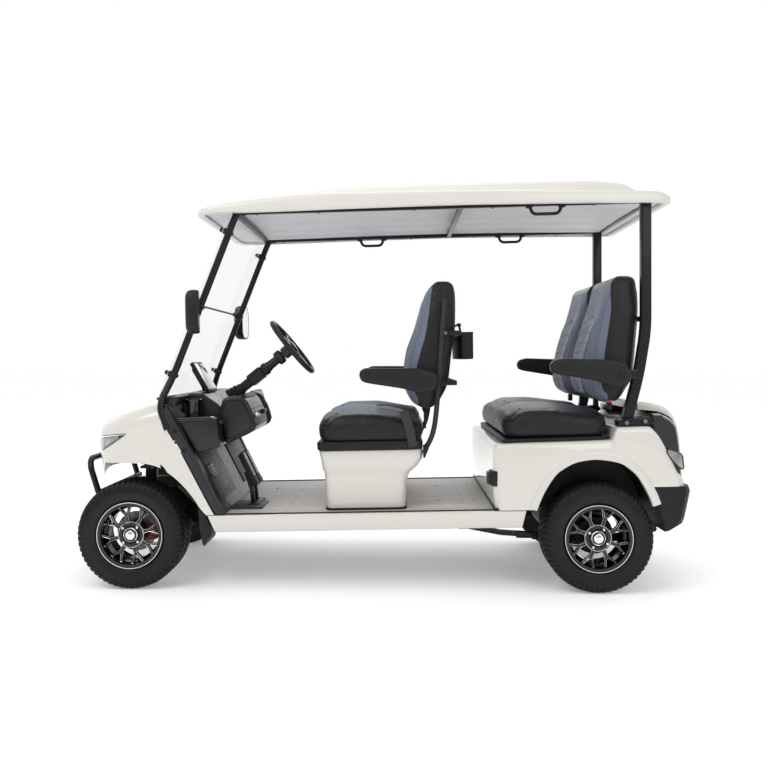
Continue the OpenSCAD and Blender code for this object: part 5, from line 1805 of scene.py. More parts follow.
def make_armrests(f):
    front = [(-64, 1062), (-52, 1030), (-20, 1020), (152, 990), (231, 968), (290, 970), (318, 985),
            (326, 1030), (316, 1066), (227, 1091), (-34, 1097), (-58, 1084)]
    rear = [(871, 1090), (876, 1060), (900, 1047), (1086, 1012), (1180, 978), (1225, 974), (1258, 1000),
            (1265, 1041), (1238, 1092), (1180, 1110), (926, 1124), (884, 1112)]
    for where, outline, x0, x1, pivot in (("front", front, 504, 558, (265, 1030)),
            ("rear", rear, 536, 590, (1215, 1030))):
        for side in ("left", "right"):
            obj = arm_pad(f"armrest_{where}_{side}_pad", outline, x0, x1, f)
            cap = turned("cap", [(0, 0), (0, 15), (3.5, 15), (5, 12), (5, 0)], 30, (x1 - 1.5, 0, 0))
            cap.data.transform(Matrix.Translation(at(0, pivot[0], pivot[1])))
            paint(cap, f["black"])
            run = inset_outline(outline, 16)
            path = rounded([at(x1 - 0.2, p.x, p.y) for p in run], 0.014, 4, True)
            path.append(path[0])
            seam = stitches("arm_seam", path, f["thread"], 0.9, 6, 3.5)
            piece = merge(obj.name, [obj, cap, seam])
            if side == "right":
                piece.data.transform(Matrix.Scale(-1, 4, (1, 0, 0)))
                piece.data.flip_normals()
            body = f"armrest_{where}_{side}"
            settle(piece, body, body, replaces=(body,), angle=45)


def make_belts(f):
    parts = []
    # belt web across the seat and up past the cushion, with red release buckles
    path = spline([at(360, 20, 905), at(390, 120, 898), at(434, 185, 872), at(476, 205, 806),
            at(478, 214, 716)], 6)
    parts.append(paint(strip("web", path, 46, 1.8, lambda i: (0.2, -0.2, 1)), f["web"]))
    path = spline([at(526, 150, 880), at(528, 172, 820), at(527, 186, 760), at(524, 196, 700)], 6)
    parts.append(paint(strip("web", path, 44, 1.8, lambda i: (1, 0, 0.05)), f["web"]))
    for side in (-1, 1):
        for x, y, z in ((70, 276, 842),):
            stem = box_piece("buckle_stem", (side * x - 15, y - 6, z - 90), (side * x + 15, y + 2, z + 6), 3,
                    2)
            head = box_piece("buckle", (side * x - 24, y - 14, z), (side * x + 24, y + 8, z + 62), 6, 3)
            button = box_piece("button", (side * x - 16, y - 12, z + 46), (side * x + 16, y + 4, z + 66), 4,
                    3)
            parts += [paint(stem, f["web"]), paint(head, f["black"]), paint(button, f["red"])]
        for x, y, z in ((170, 1186, 862), (470, 1182, 858)):
            head = box_piece("buckle", (side * x - 24, y - 14, z), (side * x + 24, y + 8, z + 40), 6, 3)
            button = box_piece("button", (side * x - 16, y - 12, z + 34), (side * x + 16, y + 4, z + 52), 4,
                    3)
            parts += [paint(head, f["black"]), paint(button, f["red"])]
    settle(merge("seat_belts", parts), "cart", "seat_belts", replaces=("seat_belts",), angle=40)


# ---------------------------------------------------------------- rear body
ARCH_REAR = [(784, 388), (800, 428), (829, 487), (879, 559), (925, 594), (976, 619), (1035, 631), (1097, 633),
        (1192, 615), (1245, 582), (1287, 538), (1332, 455), (1352, 400)]
TUB_TOP = curve_through([(595, 709), (640, 712), (1160, 722), (1176, 760), (1190, 782), (1339, 783),
        (1376, 752), (1425, 664), (1461, 584), (1489, 497)])


def make_rear_body(f):
    ys = [612 + 8 * k for k in range(4)] + [lerp(650, 1150, k / 30) for k in range(31)] + [1160, 1168, 1174,
            1180, 1186, 1194, 1210] + [lerp(1235, 1335, k / 8) for k in range(9)] + [lerp(1346, 1474,
            k / 18) for k in range(19)]
    rows = []
    for y in ys:
        w = 570 - 8 * (1 - ease(y, 600, 640))
        rows.append([at(w * j / 20, y, TUB_TOP(y)) for j in range(-20, 21)])
    arch = curve_through(ARCH_REAR)
    steps = 14

    def skirt(k, p, out):
        y, top = p.y * 1000 - SHIFT, p.z * 1000
        side = abs(out.x) > 0.6
        col = [Vector((p.x, p.y, 0)) + out * d * 0.001 + Vector((0, 0, (top - h) * 0.001)) for d,
                h in ((10, 2), (18, 7), (23.5, 15), (26, 25))]
        yy = col[-1].y * 1000 - SHIFT
        if out.y > 0.6 and not side:
            low = 492
        elif yy >= 1326:
            low = max(arch(min(yy, 1351)), lerp(440, 492, ease(yy, 1326, 1338)))
        elif 784 < yy < 1326:
            low = arch(yy)
        else:
            low = 390
        low = min(low, top - 30)
        base = top - 25
        swell = 26
        for m in range(1, steps + 1):
            t = m / steps
            z = lerp(base, low, t)
            # the side swells gently outward below a soft waist line
            belly = 4.0 * ease(t, 0.0, 0.25) if side else 3 * ease(t, 0, 0.3)
            tuck = 0 if side else (9 * (1 - ease(z, 392, 470)) if out.y < -0.6 else 0)
            col.append(Vector((p.x, p.y, 0)) + out * (swell + belly - tuck) * 0.001 + Vector((0, 0,
                    z * 0.001)))
        return col

    tub = domed("rear_tub", rows, skirt)
    thicken(tub, 4.0)
    paint(tub, f["paint"])
    settle(tub, "cart", "rear_body", replaces=("rear_body",), angle=34)
    # raised flare round each arch
    flare = []
    pts = spline([Vector(p) for p in ARCH_REAR], 5)
    grid = []
    for i, p in enumerate(pts):
        d = (pts[min(i + 1, len(pts) - 1)] - pts[max(i - 1, 0)]).normalized()
        nrm = Vector((-d.y, d.x))
        row = []
        for off, x in ((-3, 575), (-3.5, 594), (-2, 600.5), (2, 602.5), (12, 602.8), (22, 602.2), (29, 600.6),
                (33, 597.5)):
            q = p + nrm * off
            row.append(at(x, q.x, max(q.y, 388)))
        grid.append(row)
    flare = sheet_object("rear_arch_flare", grid, at(500, 1086, 300))
    thicken(flare, 3.0)
    paint(flare, f["paint"])
    both_sides("rear_arch_flare", flare, "cart", "rear_body", angle=34)
    # dark strip where the tub meets the floor, and the arch liners
    strip_piece = prism("tub_seam", [(588, 386), (604, 386), (604, 399), (588, 399)], -596, 596, 2, 2)
    paint(strip_piece, f["black"])
    settle(strip_piece, "cart", "rear_body")
    grid = []
    for p in pts:
        grid.append([at(x, p.x, p.y - 2) for x in (346, 420, 500, 575, 592)])
    liner = sheet_object("rear_arch_liner", grid, at(460, 1080, 350))
    liner.data.flip_normals()
    thicken(liner, 3.0)
    wall = [at(347, p.x, p.y) for p in pts]
    inner = make_object("liner_wall", wall + [at(347, 1352, 360), at(347, 784, 360)],
            [tuple(range(len(wall) + 2))])
    thicken(inner, 3.0)
    piece = merge("rear_arch_liner", [paint(liner, f["black"]), paint(inner, f["black"])])
    both_sides("rear_arch_liner", piece, "cart", "arch_liners", replaces=("arch_liners",))


def make_tail(f):
    side = [(1376, 760), (1376, 842), (1416, 841), (1450, 828), (1474, 812), (1492, 794), (1503, 776),
            (1511, 730), (1516, 675), (1521, 590), (1524, 506), (1497, 500), (1480, 545), (1467, 585),
            (1450, 628), (1431, 666), (1408, 712), (1383, 753)]
    rings = []
    for x in [-540, -536, -528, -505] + [lerp(-470, 470, k / 12) for k in range(13)] + [505, 528, 536, 540]:
        d = max(0.0, (abs(x) - 470) / 70)
        pull = 24 * d**2.2
        rings.append([at(x, lerp(p[0], 1440, 0.0) - pull * (1 if p[0] > 1440 else 0),
                p[1] - pull * 0.35 * (1 if p[1] > 700 else 0)) for p in side])
    fascia = paint(loft("rear_fascia", rings), f["gloss_black"])
    parts = [fascia]
    # recessed panel lines
    for z in (560, 620, 690):
        y = 1524 - (z - 506) * 0.06
        parts.append(paint(box_piece("tail_line", (-430, y - 4, z - 2), (430, y + 9, z + 2), 1.5, 2),
                f["black"]))
    settle(merge("rear_fascia", parts), "cart", "rear_fascia", replaces=("rear_fascia",), angle=34)
    outer = [(1326, 896), (1370, 893), (1416, 884), (1450, 873), (1478, 860), (1498, 842), (1512, 818),
            (1521, 798), (1526, 782), (1531, 730), (1534, 675), (1536, 600), (1537, 541), (1538, 507)]
    inner = [(1530, 507), (1529, 541), (1527, 600), (1522, 675), (1517, 728), (1509, 780), (1496, 803),
            (1479, 820), (1450, 836), (1419, 847), (1370, 853), (1326, 857)]
    rings = []
    for x in [-450, -447, -440, -425] + [lerp(-400, 400, k / 16) for k in range(17)] + [425, 440, 447, 450]:
        d = max(0.0, (abs(x) - 400) / 50)
        pull = 16 * d**2.4
        rings.append([at(x, p[0] - pull * clamp((p[0] - 1320) / 150),
                p[1] - pull * clamp((p[1] - 700) / 120)) for p in outer]
                     + [at(x, p[0], p[1]) for p in inner])
    cap = loft("rear_cap", rings)
    paint(cap, f["paint"])
    settle(cap, "cart", "rear_cap", replaces=("rear_cap",), angle=34)
    # tail lamps: housing, red lens and a clear lower part
    outline = [(1413, 660), (1424, 676), (1440, 672), (1462, 664), (1492, 650), (1496, 620), (1499, 572),
            (1484, 574), (1470, 584), (1436, 622)]
    body = paint(prism("lamp_body", outline, 538, 600, 5, 3), f["gloss_black"])
    lens_out = inset_outline(outline, 6)
    lens = paint(prism("lamp_lens", lens_out, 560, 603.5, 4, 4), f["cloudy"])
    low = paint(prism("lamp_low", [(1474, 652), (1498, 640), (1503, 580), (1484, 582)], 566, 596, 3, 3),
            f["tail"])
    both_sides("tail_lamp", merge("tail_lamp", [body, lens, low]), "cart", "tail_lights",
            replaces=("tail_lights",), angle=34)
    # bumper: a deep black moulding that wraps the corners
    outline = [(1342, 486), (1356, 449), (1369, 411), (1387, 346), (1398, 300), (1408, 268), (1430, 272),
            (1470, 292), (1498, 309), (1509, 334), (1523, 390), (1535, 443), (1540, 468), (1533, 492)]
    rings = []
    for x in [-600, -597, -588, -570] + [lerp(-540, 540, k / 14) for k in range(15)] + [570, 588, 597, 600]:
        d = max(0.0, (abs(x) - 540) / 60)
        pull = 34 * d**2.4
        rings.append([at(x, p[0] - pull * clamp((p[0] - 1400) / 110),
                p[1] + 0.25 * pull * clamp((400 - p[1]) / 120)) for p in outline])
    bumper = paint(loft("rear_bumper", rings), f["black"])
    groove = []
    for z, y in ((420, 1530.5), (372, 1519)):
        groove.append(paint(box_piece("bumper_step", (-470, y - 6, z - 9), (470, y + 4, z + 9), 3, 3),
                f["grey"]))
    plate = paint(box_piece("plate_blank", (-150, 1530, 560), (150, 1541, 650), 3, 2), f["black"])
    refl = []
    for sx in (-1, 1):
        a = box_piece("reflector", (min(sx * 330, sx * 450), 1521, 392), (max(sx * 330, sx * 450), 1531, 410),
                3, 3)
        refl.append(paint(a, f["tail"]))
    settle(merge("rear_bumper", [bumper] + groove + refl), "cart", "rear_bumper", replaces=("rear_bumper",),
            angle=34)
    settle(plate, "cart", "rear_fascia")


# ---------------------------------------------------------------- wheels, about X, outer face toward +X
def make_wheel_parts(f, look):
    """Meshes of one wheel: carcass with tread, and rim."""
    prof = [(69, 152.6), (86, 153), (88.6, 158), (88.8, 168), (93, 171), (97.5, 176), (99.5, 184),
            (100.5, 196), (101.6, 206), (102.4, 212), (102.4, 216), (101, 220), (100.2, 232), (98, 241),
            (95, 249), (89, 256), (80, 260.5), (60, 261.5), (0, 262)]
    prof = prof + [(-x, r) for x, r in reversed(prof[:-1])]
    prof += [(-60, 165), (60, 165), (69, 152.6)]
    tyre = turned("tyre", prof, 144)

    def side(p, nrm):
        r = math.hypot(p.y, p.z)
        return 0 if r > 244 else 1
    paint_faces(tyre, (f["rubber"], f["rubber_side"]), side)
    copies = int(look.tread_blocks)
    blocks = []
    # two staggered centre rows and two shoulder rows that wrap down the sidewall
    for cx, w, turn, skew in ((-16, 24, 0.0, 0.35), (16, 24, 0.5, -0.35), (-50, 30, 0.5, 0.5),
            (50, 30, 0.0, -0.5)):
        pitch = 2 * math.pi / copies
        step = pitch * (0.74 if abs(cx) < 30 else 0.78)
        verts = []
        for r in (258.5, 266.8, 268.0):
            g = 1.0 if r < 267 else 0.86
            for sx, sq in ((-1, -1), (1, -1), (1, 1), (-1, 1)):
                x = cx + sx * w * 0.5 * g
                q = turn * pitch + sq * step * 0.5 * g + skew * (sx * 0.5) * pitch * 0.55
                verts.append(Vector((x, r * math.sin(q), r * math.cos(q))) * 0.001)
        faces = [(8, 9, 10, 11)]
        for lvl in (0, 4):
            for k in range(4):
                faces.append((lvl + k, lvl + (k + 1) % 4, lvl + 4 + (k + 1) % 4, lvl + 4 + k))
        blocks.append(make_object("block", verts, faces, Vector((cx * 0.001, 0, 0.25))))
    for sx in (-1, 1):
        pitch = 2 * math.pi / copies
        verts, faces = [], []
        stations = [(70, 267.4), (82, 264.5), (92, 258.5), (98.5, 250), (101.5, 240), (102.8, 231)]
        for i, (x, r) in enumerate(stations):
            wq = pitch * (0.34 if i < 4 else 0.24)
            q0 = (0.25 if sx > 0 else 0.75) * pitch
            for d in (-1, 1):
                q = q0 + d * wq
                verts.append(Vector((sx * x, r * math.sin(q), r * math.cos(q))) * 0.001)
            for d in (-1, 1):
                q = q0 + d * wq * 1.04
                rr, xx = r - 6.5, x - 3.5
                verts.append(Vector((sx * xx, rr * math.sin(q), rr * math.cos(q))) * 0.001)
        for i in range(len(stations) - 1):
            a, b = i * 4, i * 4 + 4
            faces += [(a, a + 1, b + 1, b), (a, b, b + 2, a + 2), (a + 1, a + 3, b + 3, b + 1)]
        faces += [(0, 2, 3, 1), (20, 21, 23, 22)]
        blocks.append(make_object("shoulder", verts, faces, Vector((sx * 0.07, 0, 0.24))))
    tread = merge("tread", [paint(b, f["rubber"]) for b in blocks])
    repeat(tread, ring_tree("Tread blocks", f["rubber"]), copies=copies, first_angle=0.0)
    # fine ribs and a raised ring on the sidewall
    rib_v = [Vector((x, r * math.sin(q), r * math.cos(q))) * 0.001 for x, r, q in
             ((101.4, 205, -0.004), (101.4, 205, 0.004), (101.6, 222, 0.0037), (101.6, 222, -0.0037),
             (103.0, 207, -0.002), (103.0, 207, 0.002), (102.9, 220, 0.0018), (102.9, 220, -0.0018))]
    rib = make_object("rib", rib_v, [(4, 5, 6, 7), (0, 1, 5, 4), (1, 2, 6, 5), (2, 3, 7, 6), (3, 0, 4, 7)],
            Vector((0.09, 0, 0.21)))
    repeat(rib, ring_tree("Sidewall ribs", f["rubber_side"]), copies=90, first_angle=0.0)
    tyre = merge("tyre", [tyre, tread, rib])

    barrel = turned("barrel", [(98, 145.2), (98, 166), (96.5, 167.4), (90, 167.4), (89, 166), (89, 153),
            (42, 152.4), (28, 135.4), (-48, 135.4), (-60, 152.4), (-89, 152.4),
                               (-89, 167), (-97, 167), (-97, 145), (-58, 145), (-44, 128), (25, 128),
                               (38, 145), (70, 146), (84, 148.5), (94, 149), (98, 145.2)], 144)
    paint(barrel, f["rim"])
    outline = turned("lip", [(97.2, 160.2), (98.6, 161), (98.8, 163.4), (97.4, 164.4), (96.6, 162),
            (97.2, 160.2)], 144)
    outline2 = turned("lip2", [(96, 149.4), (97.8, 150.2), (98, 152.0), (96.6, 153.0), (95.6, 151),
            (96, 149.4)], 144)
    for o in (outline, outline2):
        paint(o, f["silver"])
    # one forked spoke: dark faces with machined edges
    a = math.radians(90 / 8)
    tips = 146.5
    stem = [(58, 11.5), (92, 8.5), (104, 13.5), (tips * math.cos(a) - 4, tips * math.sin(a) + 5.5),
            (tips * math.cos(a) + 2, tips * math.sin(a) - 6.5), (112, 4.5)]
    outline_pts = [(y, z) for y, z in stem] + [(y, -z) for y, z in reversed(stem)]
    def disc_pts(pts, x):
        return [Vector((x, z, y)) * 0.001 for y, z in pts]
    small = inset_outline(outline_pts, 2.4)
    tiny = inset_outline(outline_pts, 3.0)
    rings = [disc_pts(outline_pts, 50), disc_pts(outline_pts, 68.5), disc_pts(small, 71.4),
            disc_pts(tiny, 71.0)]
    n = len(outline_pts)
    verts = [p for r in rings for p in r]
    faces = sheet_faces(4, n, wrap_cols=True)
    faces.append(tuple(range(3 * n, 4 * n)))
    faces.append(tuple(range(n)))
    spoke = make_object("spoke", verts, faces)
    edge_only = spoke.copy()
    edge_only.data = spoke.data.copy()
    bpy.context.scene.collection.objects.link(edge_only)
    bm = bmesh.new()
    bm.from_mesh(edge_only.data)
    keep = [
        fc for fc in bm.faces
        if all(v.co.x > 0.0684 for v in fc.verts) and len(fc.verts) == 4 and fc.calc_center_median().x < 0.0713
    ]
    bmesh.ops.delete(bm, geom=[fc for fc in bm.faces if fc not in keep], context="FACES")
    bmesh.ops.solidify(bm, geom=bm.faces, thickness=-0.0005)
    for v in bm.verts:
        v.co.x += 0.0003
    bm.to_mesh(edge_only.data)
    bm.free()
    count = int(look.spoke_count)
    repeat(spoke, ring_tree("Spokes", f["rim"]), copies=count, first_angle=math.radians(11))
    repeat(edge_only, ring_tree("Spoke edges", f["silver"]), copies=count, first_angle=math.radians(11))
    hub = paint(turned("hub", [(50, 0), (50, 66), (66, 68), (71, 64), (71.5, 46), (69, 42), (69, 40),
            (74, 38.5), (80, 36), (83.5, 28), (85, 14), (85.4, 0)], 72), f["rim"])
    hub_ring = paint(turned("hub_ring", [(70.6, 64.2), (72.2, 64.6), (72.4, 62.8), (70.8, 62.4),
            (70.6, 64.2)], 72), f["silver"])
    cap_ring = paint(turned("cap_ring", [(80.6, 36.2), (83.4, 33.6), (82.6, 31.6), (80, 34), (80.6, 36.2)],
            72), f["silver"])
    badge = paint(turned("badge", [(84.6, 0), (84.6, 21), (86, 23), (87, 21), (86.6, 16), (88.4, 12),
            (88.6, 0)], 48), f["silver"])
    pocket = turned("pocket", [(69.8, 0), (69.8, 10.5), (72.2, 11.5), (72.4, 9.5), (70.4, 8.6), (70.4, 0)],
            28)
    pocket.data.transform(Matrix.Translation(Vector((0, 0, 0.0508))))
    repeat(pocket, ring_tree("Lug seats", f["rim"]), copies=4, first_angle=math.radians(45))
    nut_rings = []
    for x, r, hexed in ((70, 9.6, True), (80, 9.6, True), (83, 8.6, True), (85.5, 7.4, False),
            (88, 5.2, False), (89, 2.6, False)):
        ring = []
        for k in range(24):
            q = 2 * math.pi * k / 24
            g = math.cos(math.pi / 6) / math.cos((q % (math.pi / 3)) - math.pi / 6) if hexed else 0.93
            ring.append(Vector((x, r * g * math.sin(q), 50.8 + r * g * math.cos(q))) * 0.001)
        nut_rings.append(ring)
    nut = loft("nut", nut_rings)
    repeat(nut, ring_tree("Lug nuts", f["silver"]), copies=4, first_angle=math.radians(45))
    valve = paint(turned("valve", [(66, 0), (66, 4), (84, 4), (84, 5), (93, 5), (95, 3), (95, 0)], 20),
            f["rubber"])
    valve.data.transform(Matrix.Translation(Vector((0, 0.0, 0.1405))))
    backing = paint(turned("disc", [(-30, 30), (-30, 99), (-29, 100), (-23, 100), (-22, 99), (-22, 30),
            (-30, 30)], 96), f["steel"])
    hat = paint(turned("hat", [(-30, 16), (-30, 58), (-4, 60), (0, 56), (50, 50), (50, 16), (-30, 16)], 64),
            f["cast"])
    rim = merge("rim", [barrel, outline, outline2, spoke, edge_only, hub, hub_ring, cap_ring, badge, pocket,
            nut, valve])
    return tyre, rim, backing, hat


def make_wheels(f, look):
    tyre, rim, disc, hat = make_wheel_parts(f, look)
    drum = paint(turned("drum", [(-35, 16), (-35, 88), (-33, 90), (6, 90), (8, 88), (8, 60), (50, 52),
            (50, 16), (-35, 16)], 96), f["cast"])
    for where, y, turns in (("front", -1.214, 3), ("rear", 1.086, 14)):
        for side in ("left", "right"):
            body = f"wheel_{where}_{side}"
            sign = 1 if side == "left" else -1
            flip = Matrix.Rotation(math.pi, 4, "Z") if side == "right" else Matrix.Identity(4)
            place = Matrix.Translation(Vector((sign * 0.5, y,
                    0.268))) @ flip @ Matrix.Rotation(math.radians(turns), 4, "X")
            for kind, source in (("tyre", tyre), ("rim", rim)):
                group = []
                for s in ([source] if kind == "tyre" else [source, hat,
                        disc] if where == "front" else [source, drum]):
                    c = s.copy()
                    c.data = s.data.copy()
                    bpy.context.scene.collection.objects.link(c)
                    group.append(c)
                piece = merge(f"{kind}_{where}_{side}_look", group)
                piece.data.transform(place)
                settle(piece, body, f"{kind}_{where}_{side}", lean=False, angle=30,
                        replaces=(f"{kind}_{where}_{side}",))
    for o in (tyre, rim, disc, hat, drum):
        bpy.data.objects.remove(o)


def make_running_gear(f):
    for node, finish in (("chassis_rails", "coated"), ("chassis_cross_members", "coated"),
            ("chassis_outriggers", "coated"), ("front_suspension", "coated"),
                         ("rear_axle", "cast"), ("rear_springs", "coated"), ("knuckle_left", "cast"),
                         ("knuckle_right", "cast"),
                         ("front_bumper", "coated"), ("battery_pack", "grey")):
        finish_node(node, f[finish])
    for side in ("left", "right"):
        sign = 1 if side == "left" else -1
        block = box_piece("caliper_" + side, (447, 56, -38), (500, 110, 38), 9, 4, level=False)
        rib = box_piece("caliper_rib", (440, 68, -22), (504, 98, 22), 7, 3, level=False)
        piece = paint(merge("caliper_" + side, [block, rib]), f["red_paint"])
        piece.data.transform(Matrix.Translation(Vector((0, -1.214, 0.268))))
        if sign < 0:
            piece.data.transform(Matrix.Scale(-1, 4, (1, 0, 0)))
            piece.data.flip_normals()
        settle(piece, "steer_" + side, "knuckle_" + side, lean=False)
    # coil springs for the front shocks
    for sign in (-1, 1):
        coil = [Vector((sign * 0.298 + 0.036 * math.cos(q), -1.214 + 0.036 * math.sin(q),
                0.30 + 0.15 * q / (2 * math.pi * 6))) for q in [2 * math.pi * k / 24 for k in range(24 * 6 + 1)]]
        spring = paint(tube("front_coil_" + ("left" if sign > 0 else "right"), coil, 5, 10), f["steel"])
        settle(spring, "cart", "front_suspension", lean=False)
    leaves = []
    for side in (-1, 1):
        for i in range(3):
            z = 0.2245 - i * 0.0065 - 0.009
            y0, y1 = 1.086 - 0.36 + i * 0.08, 1.086 + 0.30 - i * 0.07
            leaf = box_piece("leaf", (side * 305 - 21, y0 * 1000, z * 1000 - 3),
                    (side * 305 + 21, y1 * 1000, z * 1000 + 3), 1.5, 2, level=False)
            leaves.append(paint(leaf, f["coated"]))
    settle(merge("spring_leaves", leaves), "cart", "rear_springs", lean=False)


# ---------------------------------------------------------------- stage
def make_stage(look):
    scene = bpy.context.scene
    floor = make_object("studio_floor", [Vector((sx * FLOOR_HALF, sy * FLOOR_HALF, 0)) for sx,
            sy in ((-1, -1), (1, -1), (1, 1), (-1, 1))], [(0, 1, 2, 3)])
    if floor.data.polygons[0].normal.z < 0:
        floor.data.flip_normals()
    mat, nodes, link, shader = node_finish("studio_floor")
    grain = noise_node(nodes, link, coords(nodes, link), 1.4, 3)
    link(mixed(nodes, link, ranged(nodes, link, grain, 0, 1), (0.93, 0.93, 0.93), (0.91, 0.91, 0.91)),
            shader.inputs["Base Color"])
    shader.inputs["Roughness"].default_value = 0.85
    shader.inputs["Emission Color"].default_value = (1, 1, 1, 1)
    shader.inputs["Emission Strength"].default_value = FLOOR_GLOW
    paint(floor, mat)
    world = bpy.data.worlds.new("studio")
    world.use_nodes = True
    back = next(x for x in world.node_tree.nodes if x.type == "BACKGROUND")
    back.inputs["Color"].default_value = (1, 1, 1, 1)
    back.inputs["Strength"].default_value = look.sky_strength
    # a white surround that falls to a soft grey on the left of the cart
    where = world.node_tree.nodes.new("ShaderNodeTexCoord")
    split = world.node_tree.nodes.new("ShaderNodeSeparateXYZ")
    fade = world.node_tree.nodes.new("ShaderNodeMapRange")
    fade.inputs["From Min"].default_value = -0.25
    fade.inputs["From Max"].default_value = 0.6
    fade.inputs["To Min"].default_value = look.sky_strength
    fade.inputs["To Max"].default_value = look.sky_strength * 0.5
    world.node_tree.links.new(where.outputs["Generated"], split.inputs[0])
    world.node_tree.links.new(split.outputs["X"], fade.inputs["Value"])
    world.node_tree.links.new(fade.outputs[0], back.inputs["Strength"])
    scene.world = world
    scene.view_settings.view_transform = "Standard"

    def area(name, place, target, size_x, size_y, power):
        data = bpy.data.lights.new(name, "AREA")
        data.shape = "RECTANGLE"
        data.size, data.size_y, data.energy = size_x, size_y, power
        obj = bpy.data.objects.new(name, data)
        scene.collection.objects.link(obj)
        obj.location = place
        obj.rotation_euler = (Vector(target) - Vector(place)).to_track_quat("-Z", "Y").to_euler()
    area("key", (3.6, -2.6, 4.6), (0, 0, 0.6), 3.2, 2.2, look.key_power)
    area("fill", (4.4, 2.8, 3.2), (0, 0.2, 0.8), 3.0, 2.2, look.key_power * 0.5)
    area("top", (0.0, 0.2, 5.2), (0, 0, 0), 4.5, 3.0, look.key_power * 0.55)
    area("back", (-4.2, 0.5, 3.4), (0, 0, 0.9), 4.0, 2.0, look.key_power * 0.45)
    cam = bpy.data.cameras.new("camera")
    cam.sensor_width = 36.0
    cam.lens = look.lens
    cam.shift_x = look.shift_x
    cam.shift_y = look.shift_y
    obj = bpy.data.objects.new("camera", cam)
    scene.collection.objects.link(obj)
    a = math.radians(CAMERA_TURN)
    obj.location = CAMERA_PLACE
    obj.rotation_euler = Vector((-math.cos(a), -math.sin(a), 0)).to_track_quat("-Z", "Y").to_euler()
    scene.camera = obj


# ---------------------------------------------------------------- add-on
class CartLooks(bpy.types.PropertyGroup):
    """Colours and sizes a user may change"""

    body_colour: bpy.props.FloatVectorProperty(name="Body colour", description="Paint of the body mouldings",
            subtype="COLOR", size=3, default=(0.645, 0.628, 0.58))
    inset_colour: bpy.props.FloatVectorProperty(name="Seat inset colour",
            description="Cloth panels of the seats", subtype="COLOR", size=3, default=(0.15, 0.175, 0.25))
    band_colour: bpy.props.FloatVectorProperty(name="Seat band colour",
            description="Vinyl bands round the seat panels", subtype="COLOR", size=3,
            default=(0.022, 0.028, 0.05))
    floor_colour: bpy.props.FloatVectorProperty(name="Floor colour",
            description="Boards printed on the floor mat", subtype="COLOR", size=3,
            default=(0.56, 0.53, 0.51))
    spoke_count: bpy.props.IntProperty(name="Spokes", description="Forked spokes on each rim", default=8,
            min=5, max=10)
    tread_blocks: bpy.props.IntProperty(name="Tread blocks",
            description="Tread blocks in each row round the tyre", default=58, min=40, max=80)


class CartStage(bpy.types.PropertyGroup):
    """Light and camera settings"""

    key_power: bpy.props.FloatProperty(name="Main light", description="Power of the largest lamp, in watts",
            default=95.0, min=0.0)
    sky_strength: bpy.props.FloatProperty(name="Surround", description="Brightness of the white surround",
            default=1.0, min=0.0)
    lens: bpy.props.FloatProperty(name="Lens", description="Focal length in millimetres", default=38.9,
            min=10.0)
    shift_x: bpy.props.FloatProperty(name="Shift X", description="Sideways framing of the view",
            default=0.0195)
    shift_y: bpy.props.FloatProperty(name="Shift Y", description="Up and down framing of the view",
            default=-0.034)


FINISHES = {}


def finishes():
    if not FINISHES:
        FINISHES.update(mix_finishes(bpy.context.scene.cart_looks))
    return FINISHES


class CART_OT_cowl(bpy.types.Operator):
    """Front cowl, lamps, side plates, sills and floor mat"""

    bl_idname = "cart.cowl"
    bl_label = "Front body"

    def execute(self, context):
        f = finishes()
        make_cowl(f)
        make_headlights(f)
        make_front_details(f)
        make_sills_and_floor(f)
        return {"FINISHED"}


class CART_OT_roof(bpy.types.Operator):
    """Roof, rails, handles, windshield, mirrors and posts"""

    bl_idname = "cart.roof"
    bl_label = "Roof and windshield"

    def execute(self, context):
        f = finishes()
        make_roof(f)
        make_roof_frame(f)
        make_struts(f)
        make_windshield(f)
        make_mirrors(f)
        make_posts(f)
        return {"FINISHED"}


class CART_OT_controls(bpy.types.Operator):
    """Dash, screen, pedals, column and steering wheel"""

    bl_idname = "cart.controls"
    bl_label = "Dash and controls"

    def execute(self, context):
        f = finishes()
        make_dash(f)
        make_pedals(f)
        make_column(f)
        make_steering_wheel(f)
        return {"FINISHED"}


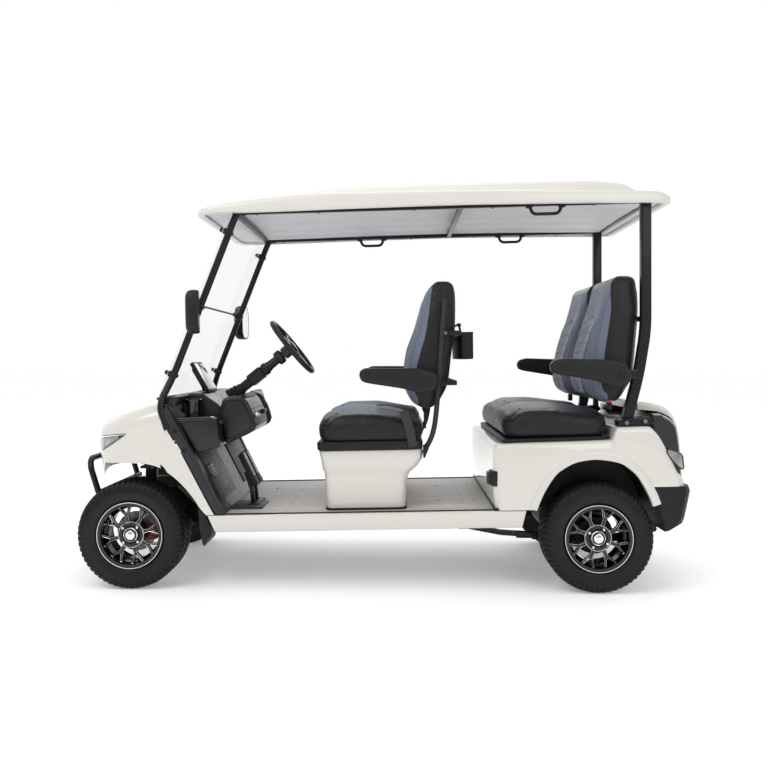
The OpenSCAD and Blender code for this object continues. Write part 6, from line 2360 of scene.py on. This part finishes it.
class CART_OT_seats(bpy.types.Operator):
    """Seat base, cushions, backs, frames, armrests and belts"""

    bl_idname = "cart.seats"
    bl_label = "Seats"

    def execute(self, context):
        f = finishes()
        make_seat_base(f)
        make_cushions(f)
        make_backs(f)
        make_seat_frames(f)
        make_armrests(f)
        make_belts(f)
        return {"FINISHED"}


class CART_OT_rear(bpy.types.Operator):
    """Rear body, tail, lamps and bumper"""

    bl_idname = "cart.rear"
    bl_label = "Rear body"

    def execute(self, context):
        f = finishes()
        make_rear_body(f)
        make_tail(f)
        return {"FINISHED"}


class CART_OT_wheels(bpy.types.Operator):
    """Tyres, rims, brakes and running gear"""

    bl_idname = "cart.wheels"
    bl_label = "Wheels and running gear"

    def execute(self, context):
        f = finishes()
        make_wheels(f, context.scene.cart_looks)
        make_running_gear(f)
        return {"FINISHED"}


class CART_OT_stage(bpy.types.Operator):
    """Floor, lights and camera"""

    bl_idname = "cart.stage"
    bl_label = "Stage"

    def execute(self, context):
        make_stage(context.scene.cart_stage)
        return {"FINISHED"}


STEPS = ("cowl", "roof", "controls", "seats", "rear", "wheels", "stage")


class CART_PT_panel(bpy.types.Panel):
    """Buttons for each group of pieces"""

    bl_label = "Golf cart"
    bl_idname = "CART_PT_panel"
    bl_space_type = "VIEW_3D"
    bl_region_type = "UI"
    bl_category = "Golf cart"

    def draw(self, context):
        layout = self.layout
        for group in (context.scene.cart_looks, context.scene.cart_stage):
            for name in group.__annotations__:
                layout.prop(group, name)
        for step in STEPS:
            layout.operator("cart." + step)


CLASSES = (CartLooks, CartStage, CART_OT_cowl, CART_OT_roof, CART_OT_controls, CART_OT_seats, CART_OT_rear,
        CART_OT_wheels, CART_OT_stage, CART_PT_panel)


def register():
    for c in CLASSES:
        bpy.utils.register_class(c)
    bpy.types.Scene.cart_looks = bpy.props.PointerProperty(type=CartLooks)
    bpy.types.Scene.cart_stage = bpy.props.PointerProperty(type=CartStage)


def unregister():
    del bpy.types.Scene.cart_looks
    del bpy.types.Scene.cart_stage
    for c in reversed(CLASSES):
        bpy.utils.unregister_class(c)


def main():
    register()
    for step in STEPS:
        getattr(bpy.ops.cart, step)()


if __name__ == "__main__":
    main()
